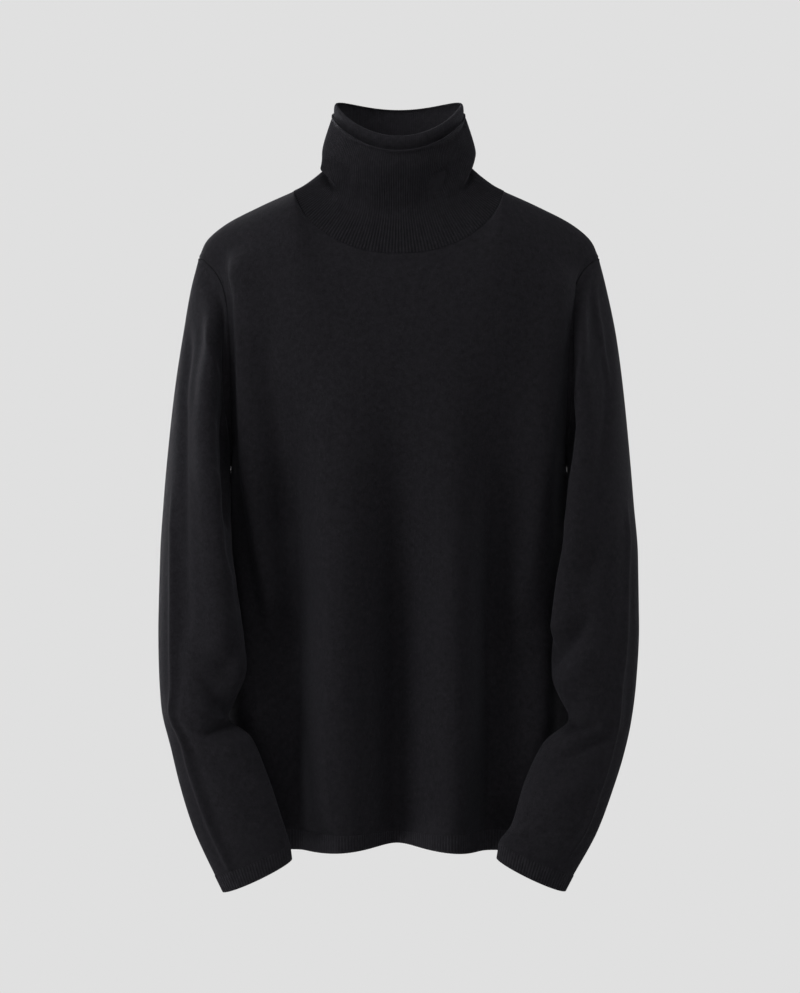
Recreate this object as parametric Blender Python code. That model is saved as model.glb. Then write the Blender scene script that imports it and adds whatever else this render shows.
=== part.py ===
"""Fine-knit turtleneck sweater, filled out as if worn, as ten hollow knitted walls.

Front is -Y, +X is to the right as seen from the front, +Z is up.
The origin lies inside the base of the neck, where a wearer's neck and shoulders carry the garment.
Everything is worked out in millimetres and turned into metres when a mesh is made.
"""

import bisect
import math

import bmesh
import bpy
from mathutils import Vector

MILLIMETRE = 0.001

# ---------------------------------------------------------------- driving sizes, mm
WALL = 1.9              # thickness of the knit
SEAM_GAP = 0.3          # clear space between two pieces at a straight seam
SEAM_CLEARANCE = 0.5    # the same at a curved seam, whose short chords would meet otherwise
RIB_RELIEF = 0.55       # height of a rib over the plain wall

HEM_EDGE_Z = -654.5     # lowest line of the body
HEM_RIB_HEIGHT = 17.5
ARMPIT_Z = -252.0
ARMPIT_X = 169.0
SHOULDER_TIP_X = 204.0
SHOULDER_TIP_Z = -59.0
SHOULDER_TIP_Y = 4.0    # the shoulder seam ends a little behind the middle
SHOULDER_SQUARENESS = 2.6

FRONT = -1
BACK = 1
SIDES = {"left": -1, "right": 1}
ARMHOLE_REACH = {FRONT: 50.0, BACK: 52.0}   # how far the armhole bows out
ARMHOLE_ROUNDNESS = 0.8

# ---------------------------------------------------------------- resolution of the walls
NECK_STEPS = 10         # steps from the centre line to the side of the neck
SHOULDER_STEPS = 8      # steps from the side of the neck to the shoulder tip
BODY_STEPS = 6          # steps from the hem rib to the armpit
ARMHOLE_STEPS = 9       # steps from the armpit to the shoulder seam
NECK_ANGLE = 36.0       # degrees round the chest, from the centre line to the side of the neck
COLLAR_RIBS_A_STEP = 5
HEM_STEPS = 36
HEM_RIBS_A_STEP = 5
CUFF_STEPS = 22
CUFF_RIBS_A_STEP = 3
POINTS_A_RIB = 2        # one in the furrow and one on the crest
NECK_SAMPLES = 90       # points that measure the length of the neckline
NECK_EVENING = 3        # passes that even the neckline's directions from step to step

KNIT_COLOUR = (0.014, 0.013, 0.017, 1.0)
KNIT_ROUGHNESS = 0.9


class Table:
    """Rows with named columns, read smoothly between rows by the value of the first column."""

    def __init__(self, columns, *rows):
        self.columns = columns.split()[1:]
        self.keys = [row[0] for row in rows]
        self.values = {name: [row[i + 1] for row in rows] for i, name in enumerate(self.columns)}

    def slope(self, values, i):
        """Slope at row i that never overshoots its neighbours."""
        if i == 0 or i == len(values) - 1:
            j = max(i, 1)
            return (values[j] - values[j - 1]) / (self.keys[j] - self.keys[j - 1])
        before = (values[i] - values[i - 1]) / (self.keys[i] - self.keys[i - 1])
        after = (values[i + 1] - values[i]) / (self.keys[i + 1] - self.keys[i])
        if before * after <= 0.0:
            return 0.0
        return 2.0 * before * after / (before + after)

    def read(self, name, key):
        """Value of one column at a key."""
        values = self.values[name]
        key = min(max(key, self.keys[0]), self.keys[-1])
        i = min(max(bisect.bisect_right(self.keys, key) - 1, 0), len(values) - 2)
        span = self.keys[i + 1] - self.keys[i]
        t = (key - self.keys[i]) / span
        rise = values[i + 1] - values[i]
        start = self.slope(values, i) * span
        end = self.slope(values, i + 1) * span
        return values[i] + t * (start + t * (3.0 * rise - 2.0 * start - end + t * (start + end - 2.0 * rise)))

    def row(self, key):
        """All columns at a key."""
        return [self.read(name, key) for name in self.columns]


# Body sections below the armpit: half width, where it is widest, reach to the front and back
# from there, and squareness.
BODY = Table(
    "z half_width middle_y front back square",
    (-654.5, 170.0, 14.0, 105.0, 77.0, 2.4),
    (-520.0, 174.5, 16.0, 113.0, 80.0, 2.4),
    (-330.0, 174.0, 15.0, 123.0, 90.0, 2.4),
    (-252.0, 169.0, 0.0, 112.0, 109.0, 2.4),
    (-200.0, 169.0, 0.0, 112.0, 109.0, 2.4),
)

# Shoulder seam from the side of the neck to the shoulder tip.
SHOULDER = Table(
    "part x y z",
    (0.0, 107.0, -8.0, 7.0),
    (0.3, 141.0, -3.0, -8.0),
    (0.65, 178.0, 2.0, -26.5),
    (0.85, 197.0, 3.5, -43.0),
    (1.0, 204.0, 4.0, -59.0),
)

# Hanging folds. Angles go round the body from the front centre, plus to the right, in degrees.
# A fold starts at one height, has its full depth at another and lifts the hem a little.
# A plus depth is a ridge.
FOLD_COLUMNS = "angle_above angle_hem spread depth start full lift".split()
FOLDS = [
    dict(zip(FOLD_COLUMNS, row))
    for row in (
        (-18.5, -18.5, 8.0, 14.0, -120.0, -430.0, 0.0),
        (19.3, 19.3, 8.0, 14.0, -130.0, -430.0, 0.0),
        (49.0, 50.0, 9.0, 8.0, -110.0, -380.0, 0.0),
        (-62.0, -64.0, 9.0, 4.0, -100.0, -300.0, 0.0),
        (-38.5, -39.5, 10.5, -34.0, -120.0, -470.0, -3.0),
        (-0.6, -0.6, 8.0, -36.0, -140.0, -490.0, 5.5),
        (34.5, 34.5, 11.0, -34.0, -120.0, -470.0, -3.0),
        (88.0, 84.0, 9.0, -5.0, -400.0, -620.0, 0.0),
        (-92.0, -97.0, 9.0, -5.0, -390.0, -620.0, 0.0),
        (112.0, 109.0, 9.0, 5.0, -280.0, -500.0, 0.0),
        (-115.0, -119.0, 9.0, 5.0, -260.0, -500.0, 0.0),
        (134.0, 130.0, 9.0, -15.0, -200.0, -520.0, 2.0),
        (152.0, 151.0, 8.5, 8.0, -180.0, -480.0, 0.0),
        (171.0, 170.0, 8.5, -16.0, -210.0, -500.0, 2.5),
        (-171.0, -167.0, 8.0, 7.0, -190.0, -470.0, 0.0),
        (-153.0, -148.0, 8.5, -17.0, -170.0, -500.0, 1.5),
        (-134.0, -131.0, 9.0, 7.0, -200.0, -480.0, 0.0),
    )
]

# Neckline: its reach to the front and back, its heights and the upright of the cloth below it.
NECK_X = 107.0
NECK_Y = -8.0           # where the neckline is widest
NECK_Z = 7.0            # height at the sides
NECK_REACH = {FRONT: 74.0, BACK: 74.0}
NECK_MIDDLE_Z = {FRONT: -56.0, BACK: 12.0}
NECK_UPRIGHT = {FRONT: 2.0, BACK: 3.4}
NECK_SQUARE = 2.5
NECK_SWEEP = 3.9        # how flat the middle of the neckline is before it rises to the sides

# Rings of the collar: at the sides, the front centre and the back centre.
RING_COLUMNS = "level side_x side_z front_y front_z back_y back_z"
COLLAR_OUTER = Table(
    RING_COLUMNS,
    (1.0, 82.0, 22.0, -71.0, -29.0, 60.5, 33.0),
    (2.0, 73.2, 34.0, -67.0, -5.0, 60.0, 47.0),
    (3.0, 77.3, 50.0, -72.0, 24.0, 65.0, 67.0),
    (4.0, 69.4, 78.5, -69.2, 41.0, 66.0, 86.0),
    (5.0, 71.2, 84.0, -71.0, 45.0, 67.9, 91.0),
)
COLLAR_INNER = Table(
    RING_COLUMNS,
    (3.0, 65.6, 66.0, -64.0, 32.0, 61.0, 78.0),
    (4.0, 66.0, 92.0, -64.8, 52.0, 66.0, 96.0),
    (5.0, 64.4, 98.0, -62.6, 57.5, 65.0, 101.5),
)
LINING_LEVELS = ((0.12, 0.4), (1.0, 0.9), (2.0, 1.6))   # level of the outer layer, clear space to it

# Rings of a sleeve: outer and inner edge as seen from the front, middle and half depth front to
# back, and how far the inner edge lies in front of the outer one.
SLEEVE_COLUMNS = "station outer_x outer_z inner_x inner_z middle_y half_depth lead"
CUFF_STATION = 13.0
WRIST_STATION = 14.0
SLEEVES = {
    "left": Table(
        SLEEVE_COLUMNS,
        (0.0, 204.0, -59.0, 169.0, -252.0, 0.0, 50.0, 0.0),
        (1.0, 212.5, -92.0, 170.5, -263.0, -1.0, 56.0, 8.0),
        (2.0, 220.5, -138.0, 170.5, -275.0, -7.0, 58.0, 26.0),
        (3.0, 228.0, -190.0, 169.5, -292.0, -16.0, 58.0, 38.0),
        (4.0, 233.5, -245.0, 168.5, -318.0, -28.0, 56.0, 42.0),
        (5.0, 238.0, -304.0, 167.0, -352.0, -38.0, 54.0, 40.0),
        (6.0, 241.0, -364.0, 164.5, -392.0, -44.0, 50.0, 30.0),
        (7.0, 241.5, -428.0, 158.5, -440.0, -56.0, 44.0, 24.0),
        (8.0, 240.0, -481.0, 156.0, -480.0, -62.0, 40.0, 18.0),
        (9.0, 235.0, -524.0, 168.5, -521.0, -64.0, 36.0, 14.0),
        (10.0, 227.0, -554.0, 147.0, -541.0, -72.0, 33.0, 10.0),
        (11.0, 217.0, -590.0, 131.0, -575.0, -84.0, 30.0, 8.0),
        (12.0, 203.5, -630.0, 117.0, -615.0, -92.0, 26.0, 6.0),
        (13.0, 181.5, -676.0, 107.5, -645.0, -98.0, 22.5, 4.0),
        (14.0, 173.5, -692.0, 105.5, -660.0, -99.0, 21.5, 4.0),
    ),
    "right": Table(
        SLEEVE_COLUMNS,
        (0.0, 204.0, -59.0, 169.0, -252.0, 0.0, 50.0, 0.0),
        (1.0, 212.0, -90.0, 170.5, -263.0, -1.0, 56.0, 8.0),
        (2.0, 222.0, -138.0, 170.5, -275.0, -7.0, 58.0, 26.0),
        (3.0, 228.5, -190.0, 169.5, -292.0, -17.0, 58.0, 38.0),
        (4.0, 233.5, -248.0, 167.5, -318.0, -30.0, 56.0, 42.0),
        (5.0, 237.5, -307.0, 165.5, -352.0, -42.0, 53.0, 40.0),
        (6.0, 241.0, -364.0, 159.5, -388.0, -50.0, 49.0, 28.0),
        (7.0, 241.0, -428.0, 154.5, -435.0, -60.0, 44.0, 22.0),
        (8.0, 237.5, -486.0, 151.0, -477.0, -68.0, 40.0, 18.0),
        (9.0, 232.0, -527.0, 168.0, -521.0, -70.0, 36.0, 14.0),
        (10.0, 224.0, -558.0, 143.0, -547.0, -80.0, 33.0, 10.0),
        (11.0, 211.5, -594.0, 124.5, -583.0, -92.0, 30.0, 8.0),
        (12.0, 195.5, -634.0, 110.5, -626.0, -100.0, 26.0, 6.0),
        (13.0, 172.0, -675.0, 99.0, -642.0, -106.0, 22.5, 4.0),
        (14.0, 164.0, -690.0, 96.5, -658.0, -107.0, 21.5, 4.0),
    ),
}
WRIST_DIP = 3.0         # how much lower the cuff's front edge hangs than its middle
SLEEVE_SETTLE = 3.0     # stations over which the armhole's shape turns into the sleeve's own


def smooth_step(start, end, value):
    """0 at start, 1 at end, with soft ends."""
    t = min(max((value - start) / (end - start), 0.0), 1.0)
    return t * t * (3.0 - 2.0 * t)


# ---------------------------------------------------------------- form of the body
def fold_depth(angle, z):
    """How far the folds push the body out at an angle and a height."""
    depth = 0.0
    for fold in FOLDS:
        drop = smooth_step(ARMPIT_Z, HEM_EDGE_Z, z)
        centre = fold["angle_above"] + (fold["angle_hem"] - fold["angle_above"]) * drop
        away = (angle - centre + 180.0) % 360.0 - 180.0
        grown = smooth_step(fold["start"], fold["full"], z)
        depth += fold["depth"] * grown * math.exp(-((away / fold["spread"]) ** 2))
    return depth


def hem_lift(angle):
    """How far the folds lift the hem's edge at an angle."""
    lift = 0.0
    for fold in FOLDS:
        away = (angle - fold["angle_hem"] + 180.0) % 360.0 - 180.0
        lift += fold["lift"] * math.exp(-((away / (1.5 * fold["spread"])) ** 2))
    return lift


def body_section(face, across, z):
    """Point of the plain section and its outward direction; across is -90 to 90 degrees."""
    half_width, middle_y, front, back, square = BODY.row(z)
    reach = front if face == FRONT else back
    sine = math.sin(math.radians(across))
    cosine = max(math.cos(math.radians(across)), 0.0)
    size = (abs(sine) ** square + cosine ** square) ** (1.0 / square)
    point = Vector((half_width * sine / size, middle_y + face * reach * cosine / size, z))
    outward = Vector((
        math.copysign(abs(sine) ** (square - 1.0), sine) / half_width,
        face * cosine ** (square - 1.0) / reach,
        0.0,
    ))
    return point, outward.normalized()


def body_angle(face, across):
    """Angle round the body from the front centre."""
    return across if face == FRONT else 180.0 - across


def body_point(face, across, z):
    """Point of the folded body below the armpit."""
    point, outward = body_section(face, across, z)
    return point + outward * fold_depth(body_angle(face, across), z)


def armhole_point(side, face, part):
    """Point of the armhole's edge, from the armpit (0) to the shoulder tip (1)."""
    rise = math.sin(math.pi * part / 2.0) ** 2
    flare = SHOULDER_TIP_X - ARMPIT_X
    x = ARMPIT_X + flare * (rise ** 2 / 7.0 + rise ** 10 * 6.0 / 7.0)
    bow = max(math.sin(math.pi * part), 0.0) ** ARMHOLE_ROUNDNESS
    y = face * ARMHOLE_REACH[face] * bow + SHOULDER_TIP_Y * rise ** 4
    return Vector((side * x, y, ARMPIT_Z + (SHOULDER_TIP_Z - ARMPIT_Z) * rise))


def ring_point(table, level, angle):
    """Point of a collar ring; angle is 0 at the front centre and 90 degrees at +X."""
    side_x, side_z, front_y, front_z, back_y, back_z = table.row(level)
    sine = math.sin(math.radians(angle))
    cosine = math.cos(math.radians(angle))
    y = (back_y + front_y) / 2.0 - (back_y - front_y) / 2.0 * cosine
    ends = (front_z + back_z) / 2.0
    z = ends * cosine ** 2 + side_z * sine ** 2 + (front_z - back_z) / 2.0 * cosine
    return Vector((side_x * sine, y, z))


def neckline_samples(face):
    """Neckline from the middle to the +X side, as points and their distance from the middle."""
    points = []
    for i in range(NECK_SAMPLES + 1):
        angle = math.pi / 2.0 * i / NECK_SAMPLES
        size = (math.sin(angle) ** NECK_SQUARE + math.cos(angle) ** NECK_SQUARE) ** (1.0 / NECK_SQUARE)
        x = NECK_X * math.sin(angle) / size
        y = NECK_Y + face * NECK_REACH[face] * math.cos(angle) / size
        rise = (x / NECK_X) ** NECK_SWEEP
        points.append(Vector((x, y, NECK_MIDDLE_Z[face] + (NECK_Z - NECK_MIDDLE_Z[face]) * rise)))
    lengths = [0.0]
    for a, b in zip(points, points[1:]):
        lengths.append(lengths[-1] + (b - a).length)
    return points, lengths


NECKLINE = {face: neckline_samples(face) for face in (FRONT, BACK)}


def neckline_point(face, share):
    """Point of the neckline at a share of its length from the middle (0) to a side (-1 or 1)."""
    points, lengths = NECKLINE[face]
    want = min(abs(share), 1.0) * lengths[-1]
    i = min(max(bisect.bisect_right(lengths, want) - 1, 0), len(points) - 2)
    point = points[i].lerp(points[i + 1], (want - lengths[i]) / (lengths[i + 1] - lengths[i]))
    point.x = math.copysign(point.x, share)
    return point


def shoulder_point(across):
    """Point of the shoulder seam."""
    x, y, z = SHOULDER.row((abs(across) - NECK_ANGLE) / (90.0 - NECK_ANGLE))
    return Vector((math.copysign(x, across), y, z))


def climb(foot, summit, rise, squareness):
    """Point of a rounded climb from a foot to a summit, and how much of the way out is left."""
    left = max(1.0 - rise ** squareness, 0.0) ** (1.0 / squareness)
    point = summit + (foot - summit) * left
    point.z = foot.z + (summit.z - foot.z) * rise
    return point, left


def upper_point(face, across, part):
    """Point of a panel between the armpit's height (0) and the neckline or shoulder seam (1)."""
    rise = math.sin(math.pi * part / 2.0) ** 2
    side = math.copysign(1.0, across)
    foot, outward = body_section(face, across, ARMPIT_Z)
    share = abs(across) / NECK_ANGLE
    if share < 1.0:
        # The cloth climbs towards a summit inside the neck and ends at the neckline on the way.
        blend = smooth_step(0.0, 1.0, share)
        squareness = NECK_UPRIGHT[face] * (1.0 - blend) + SHOULDER_SQUARENESS * blend
        end = neckline_point(face, side * share)
        left = (end.y - NECK_Y) / (foot.y - NECK_Y)
        reached = (1.0 - left ** squareness) ** (1.0 / squareness)
        summit = (end - foot * left) / (1.0 - left)
        summit.z = foot.z + (end.z - foot.z) / reached
        point, left = climb(foot, summit, rise * reached, squareness)
    else:
        point, left = climb(foot, shoulder_point(across), rise, SHOULDER_SQUARENESS)
    edge_foot, _ = body_section(face, side * 90.0, ARMPIT_Z)
    edge, _ = climb(edge_foot, shoulder_point(side * 90.0), rise, SHOULDER_SQUARENESS)
    pull = (abs(across) / 90.0) ** 3
    point += (armhole_point(side, face, part) - edge) * pull
    fading = left * (1.0 - (abs(across) / 90.0) ** 8)
    return point + outward * fold_depth(body_angle(face, across), point.z) * fading


# ---------------------------------------------------------------- form of the sleeves
def sleeve_point(name, station, turn):
    """Point of a sleeve; turn is 0 on the outer edge, 90 degrees in front, 180 at the body."""
    side = SIDES[name]
    sine = math.sin(math.radians(turn))
    cosine = math.cos(math.radians(turn))

    def ring(at):
        outer_x, outer_z, inner_x, inner_z, middle_y, half_depth, lead = SLEEVES[name].row(at)
        across = Vector(((outer_x - inner_x) / 2.0, 0.0, (outer_z - inner_z) / 2.0))
        middle = Vector(((outer_x + inner_x) / 2.0, middle_y, (outer_z + inner_z) / 2.0))
        dip = WRIST_DIP * smooth_step(CUFF_STATION - 1.0, WRIST_STATION, at)
        return middle + across * cosine + Vector((0.0, lead / 2.0 * cosine - half_depth * sine, -dip * sine))

    point = ring(station)
    fade = 1.0 - smooth_step(0.0, SLEEVE_SETTLE, station)
    face = FRONT if sine >= 0.0 else BACK
    part = 1.0 - turn / 180.0 if sine >= 0.0 else turn / 180.0 - 1.0
    armhole = armhole_point(1.0, face, part)
    point += (armhole - ring(0.0)) * fade
    return Vector((side * point.x, point.y, point.z))


# ---------------------------------------------------------------- walls
def grid_normals(grid, wrapped, flip=1.0):
    """Outward directions of a grid of points, rows first."""
    rows = len(grid)
    columns = len(grid[0])
    normals = []
    for r in range(rows):
        line = []
        for c in range(columns):
            after = (c + 1) % columns if wrapped else min(c + 1, columns - 1)
            before = (c - 1) % columns if wrapped else max(c - 1, 0)
            along = grid[r][after] - grid[r][before]
            up = grid[min(r + 1, rows - 1)][c] - grid[max(r - 1, 0)][c]
            line.append(along.cross(up).normalized() * flip)
        normals.append(line)
    return normals


def flatten(normals, axis):
    """The same directions with nothing along an axis."""
    return [(n - axis * n.dot(axis)).normalized() for n in normals]


def inset(grid, normals, distance):
    """The grid moved inwards."""
    return [[p - n * distance for p, n in zip(line, across)] for line, across in zip(grid, normals)]


def ribbed(grid, normals):
    """The grid with every second point raised into the crest of a rib."""
    return [
        [p + n * (RIB_RELIEF if c % POINTS_A_RIB else 0.0) for c, (p, n) in enumerate(zip(line, across))]
        for line, across in zip(grid, normals)
    ]


def every(grid, step):
    """Every step-th column of a grid."""
    return [line[::step] for line in grid]


def knit_material(name):
    """Charcoal wool."""
    material = bpy.data.materials.new(name)
    material.use_nodes = True
    shader = material.node_tree.nodes["Principled BSDF"]
    shader.inputs["Base Color"].default_value = KNIT_COLOUR
    shader.inputs["Roughness"].default_value = KNIT_ROUGHNESS
    shader.inputs["Metallic"].default_value = 0.0
    return material


def make_wall(name, outer, inner, wrapped):
    """Closed wall between outer points and inner points; the outer rows may be finer."""
    rows = len(outer)
    fine = len(outer[0])
    plain = len(inner[0])
    spans = plain if wrapped else plain - 1
    steps = fine // plain if wrapped else (fine - 1) // (plain - 1)

    def out(r, c):
        return r * fine + c % fine

    def within(r, c):
        return rows * fine + r * plain + c % plain

    points = [p * MILLIMETRE for line in outer for p in line]
    points += [p * MILLIMETRE for line in inner for p in line]
    faces = []
    for r in range(rows - 1):
        faces += [(out(r, c), out(r, c + 1), out(r + 1, c + 1), out(r + 1, c)) for c in range(spans * steps)]
        faces += [
            (within(r, c), within(r + 1, c), within(r + 1, c + 1), within(r, c + 1))
            for c in range(spans)
        ]
        if not wrapped:
            last = plain - 1
            faces.append((out(r, 0), out(r + 1, 0), within(r + 1, 0), within(r, 0)))
            faces.append((out(r, fine - 1), within(r, last), within(r + 1, last), out(r + 1, fine - 1)))
    for r in (0, rows - 1):
        for c in range(spans):
            middle = steps // 2
            faces.append((within(r, c), out(r, c * steps + middle), within(r, c + 1)))
            for k in range(steps):
                near = within(r, c) if k < middle else within(r, c + 1)
                faces.append((out(r, c * steps + k), out(r, c * steps + k + 1), near))

    mesh = bpy.data.meshes.new(name)
    work = bmesh.new()
    vertices = [work.verts.new(p) for p in points]
    for face in faces:
        work.faces.new([vertices[i] for i in face])
    bmesh.ops.recalc_face_normals(work, faces=work.faces)
    if work.calc_volume(signed=True) < 0.0:
        bmesh.ops.reverse_faces(work, faces=work.faces)
    bmesh.ops.triangulate(work, faces=work.faces)
    work.to_mesh(mesh)
    work.free()
    mesh.shade_smooth()
    mesh.set_sharp_from_angle(angle=math.radians(50.0))
    mesh.materials.append(knit_material(name + "_knit"))
    wall = bpy.data.objects.new(name, mesh)
    bpy.context.collection.objects.link(wall)
    return wall


# ---------------------------------------------------------------- grids of the pieces
def panel_columns():
    """Angles across a panel, closer over the neck than over the shoulders."""
    half = [NECK_ANGLE * i / NECK_STEPS for i in range(NECK_STEPS)]
    half += [NECK_ANGLE + (90.0 - NECK_ANGLE) * i / SHOULDER_STEPS for i in range(SHOULDER_STEPS + 1)]
    return [-angle for angle in reversed(half[1:])] + half


def panel_grid(face):
    """Points of a panel from the hem rib up; both panels run the same way round the body."""
    columns = [-face * angle for angle in panel_columns()]
    seam_z = HEM_EDGE_Z + HEM_RIB_HEIGHT
    grid = []
    for i in range(BODY_STEPS):
        z = seam_z + (ARMPIT_Z - seam_z) * i / BODY_STEPS
        grid.append([body_point(face, across, z) for across in columns])
    for i in range(ARMHOLE_STEPS + 1):
        grid.append([upper_point(face, across, i / ARMHOLE_STEPS) for across in columns])
    return grid


def sleeve_turns():
    """Angles round a sleeve that meet the rows of the panels at the armhole."""
    return [180.0 * i / ARMHOLE_STEPS for i in range(2 * ARMHOLE_STEPS)]


def sleeve_grid(name):
    """Points of a sleeve from the armhole down to the cuff."""
    stations = [float(i) for i in range(int(CUFF_STATION) + 1)]
    return [[sleeve_point(name, station, turn) for turn in sleeve_turns()] for station in stations]


def cuff_axis(name):
    """Direction down the wrist, square to the cuff's rings."""
    outer_x, outer_z, inner_x, inner_z = SLEEVES[name].row(CUFF_STATION)[:4]
    slope = Vector((SIDES[name] * (outer_x - inner_x), 0.0, outer_z - inner_z)).normalized()
    down = Vector((slope.z, 0.0, -slope.x))
    return down if down.z < 0.0 else -down


def even_columns(line, count, wrapped):
    """Places at even spacing along a line of points, as positions in the list."""
    closed = line + [line[0]] if wrapped else line
    lengths = [0.0]
    for a, b in zip(closed, closed[1:]):
        lengths.append(lengths[-1] + (b - a).length)
    places = []
    for i in range(count if wrapped else count + 1):
        want = lengths[-1] * i / count
        j = min(max(bisect.bisect_right(lengths, want) - 1, 0), len(closed) - 2)
        places.append(j + (want - lengths[j]) / (lengths[j + 1] - lengths[j]))
    return places


def hem_grid(face):
    """Points of a hem rib, its ribs at even spacing, with a wavy lower edge."""
    seam_z = HEM_EDGE_Z + HEM_RIB_HEIGHT
    probe = [-face * (-90.0 + 180.0 * i / 720.0) for i in range(721)]
    line = [body_point(face, across, seam_z) for across in probe]
    places = even_columns(line, HEM_STEPS * HEM_RIBS_A_STEP * POINTS_A_RIB, False)
    angles = [-face * (-90.0 + place / 4.0) for place in places]
    grid = []
    for low in (True, False):
        row = []
        for across in angles:
            point = body_point(face, across, HEM_EDGE_Z if low else seam_z)
            point.z = HEM_EDGE_Z + hem_lift(body_angle(face, across)) if low else seam_z - SEAM_GAP
            row.append(point)
        grid.append(row)
    return grid


def cuff_grid(name):
    """Points of a cuff rib, from the sleeve's end to the wrist opening."""
    probe = [sleeve_point(name, CUFF_STATION, i / 2.0) for i in range(720)]
    count = CUFF_STEPS * CUFF_RIBS_A_STEP * POINTS_A_RIB
    turns = [place / 2.0 for place in even_columns(probe, count, True)]
    first = [sleeve_point(name, CUFF_STATION, turn) + cuff_axis(name) * SEAM_GAP for turn in turns]
    last = [sleeve_point(name, WRIST_STATION, turn) for turn in turns]
    return [first, last]


def collar_angles(columns):
    """Angles round the neck, from the back centre past -X, the front and +X."""
    return [-180.0 + 360.0 * i / columns for i in range(columns)]


def collar_base_point(angle):
    """Point of the neckline for an angle round the neck."""
    if abs(angle) <= 90.0:
        return neckline_point(FRONT, angle / 90.0)
    return neckline_point(BACK, math.copysign(180.0 - abs(angle), angle) / 90.0)


def collar_point(level, angle):
    """Point of the outer layer; level 0 is the neckline."""
    if level >= 1.0:
        return ring_point(COLLAR_OUTER, level, angle)
    return collar_base_point(angle).lerp(ring_point(COLLAR_OUTER, 1.0, angle), level)


def lining_grid(columns):
    """Points of the inner layer: close inside the outer one below, its own shape above."""
    angles = collar_angles(columns)
    grid = []
    for level, clear in LINING_LEVELS:
        rows = [[collar_point(level + step, angle) for angle in angles] for step in (0.0, 0.1)]
        directions = grid_normals(rows, True)[0]
        grid.append([p - n * (WALL + clear) for p, n in zip(rows[0], directions)])
    for level in COLLAR_INNER.keys:
        grid.append([ring_point(COLLAR_INNER, level, angle) for angle in angles])
    return grid


# ---------------------------------------------------------------- building
def part_seam(grid, shift):
    """Draw the side and shoulder edges of a panel back from the other panel, along y."""
    for r, line in enumerate(grid):
        for c in (0, -1):
            # At the armpit the wall turns under and needs twice the room.
            line[c].y += shift * 2.0 if r == BODY_STEPS else shift
    for c in range(len(grid[-1])):
        if c <= SHOULDER_STEPS or c >= len(grid[-1]) - 1 - SHOULDER_STEPS:
            grid[-1][c].y += shift


def draw_back(ring, following, directions, distance):
    """Draw a ring back from a seam towards the next ring, along the surface."""
    count = len(ring)
    drawn = []
    for c, point in enumerate(ring):
        along = ring[(c + 1) % count] - ring[c - 1]
        towards = along.cross(directions[c]).normalized()
        if towards.dot(following[c] - point) < 0.0:
            towards.negate()
        drawn.append(point + towards * distance)
    return drawn


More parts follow.
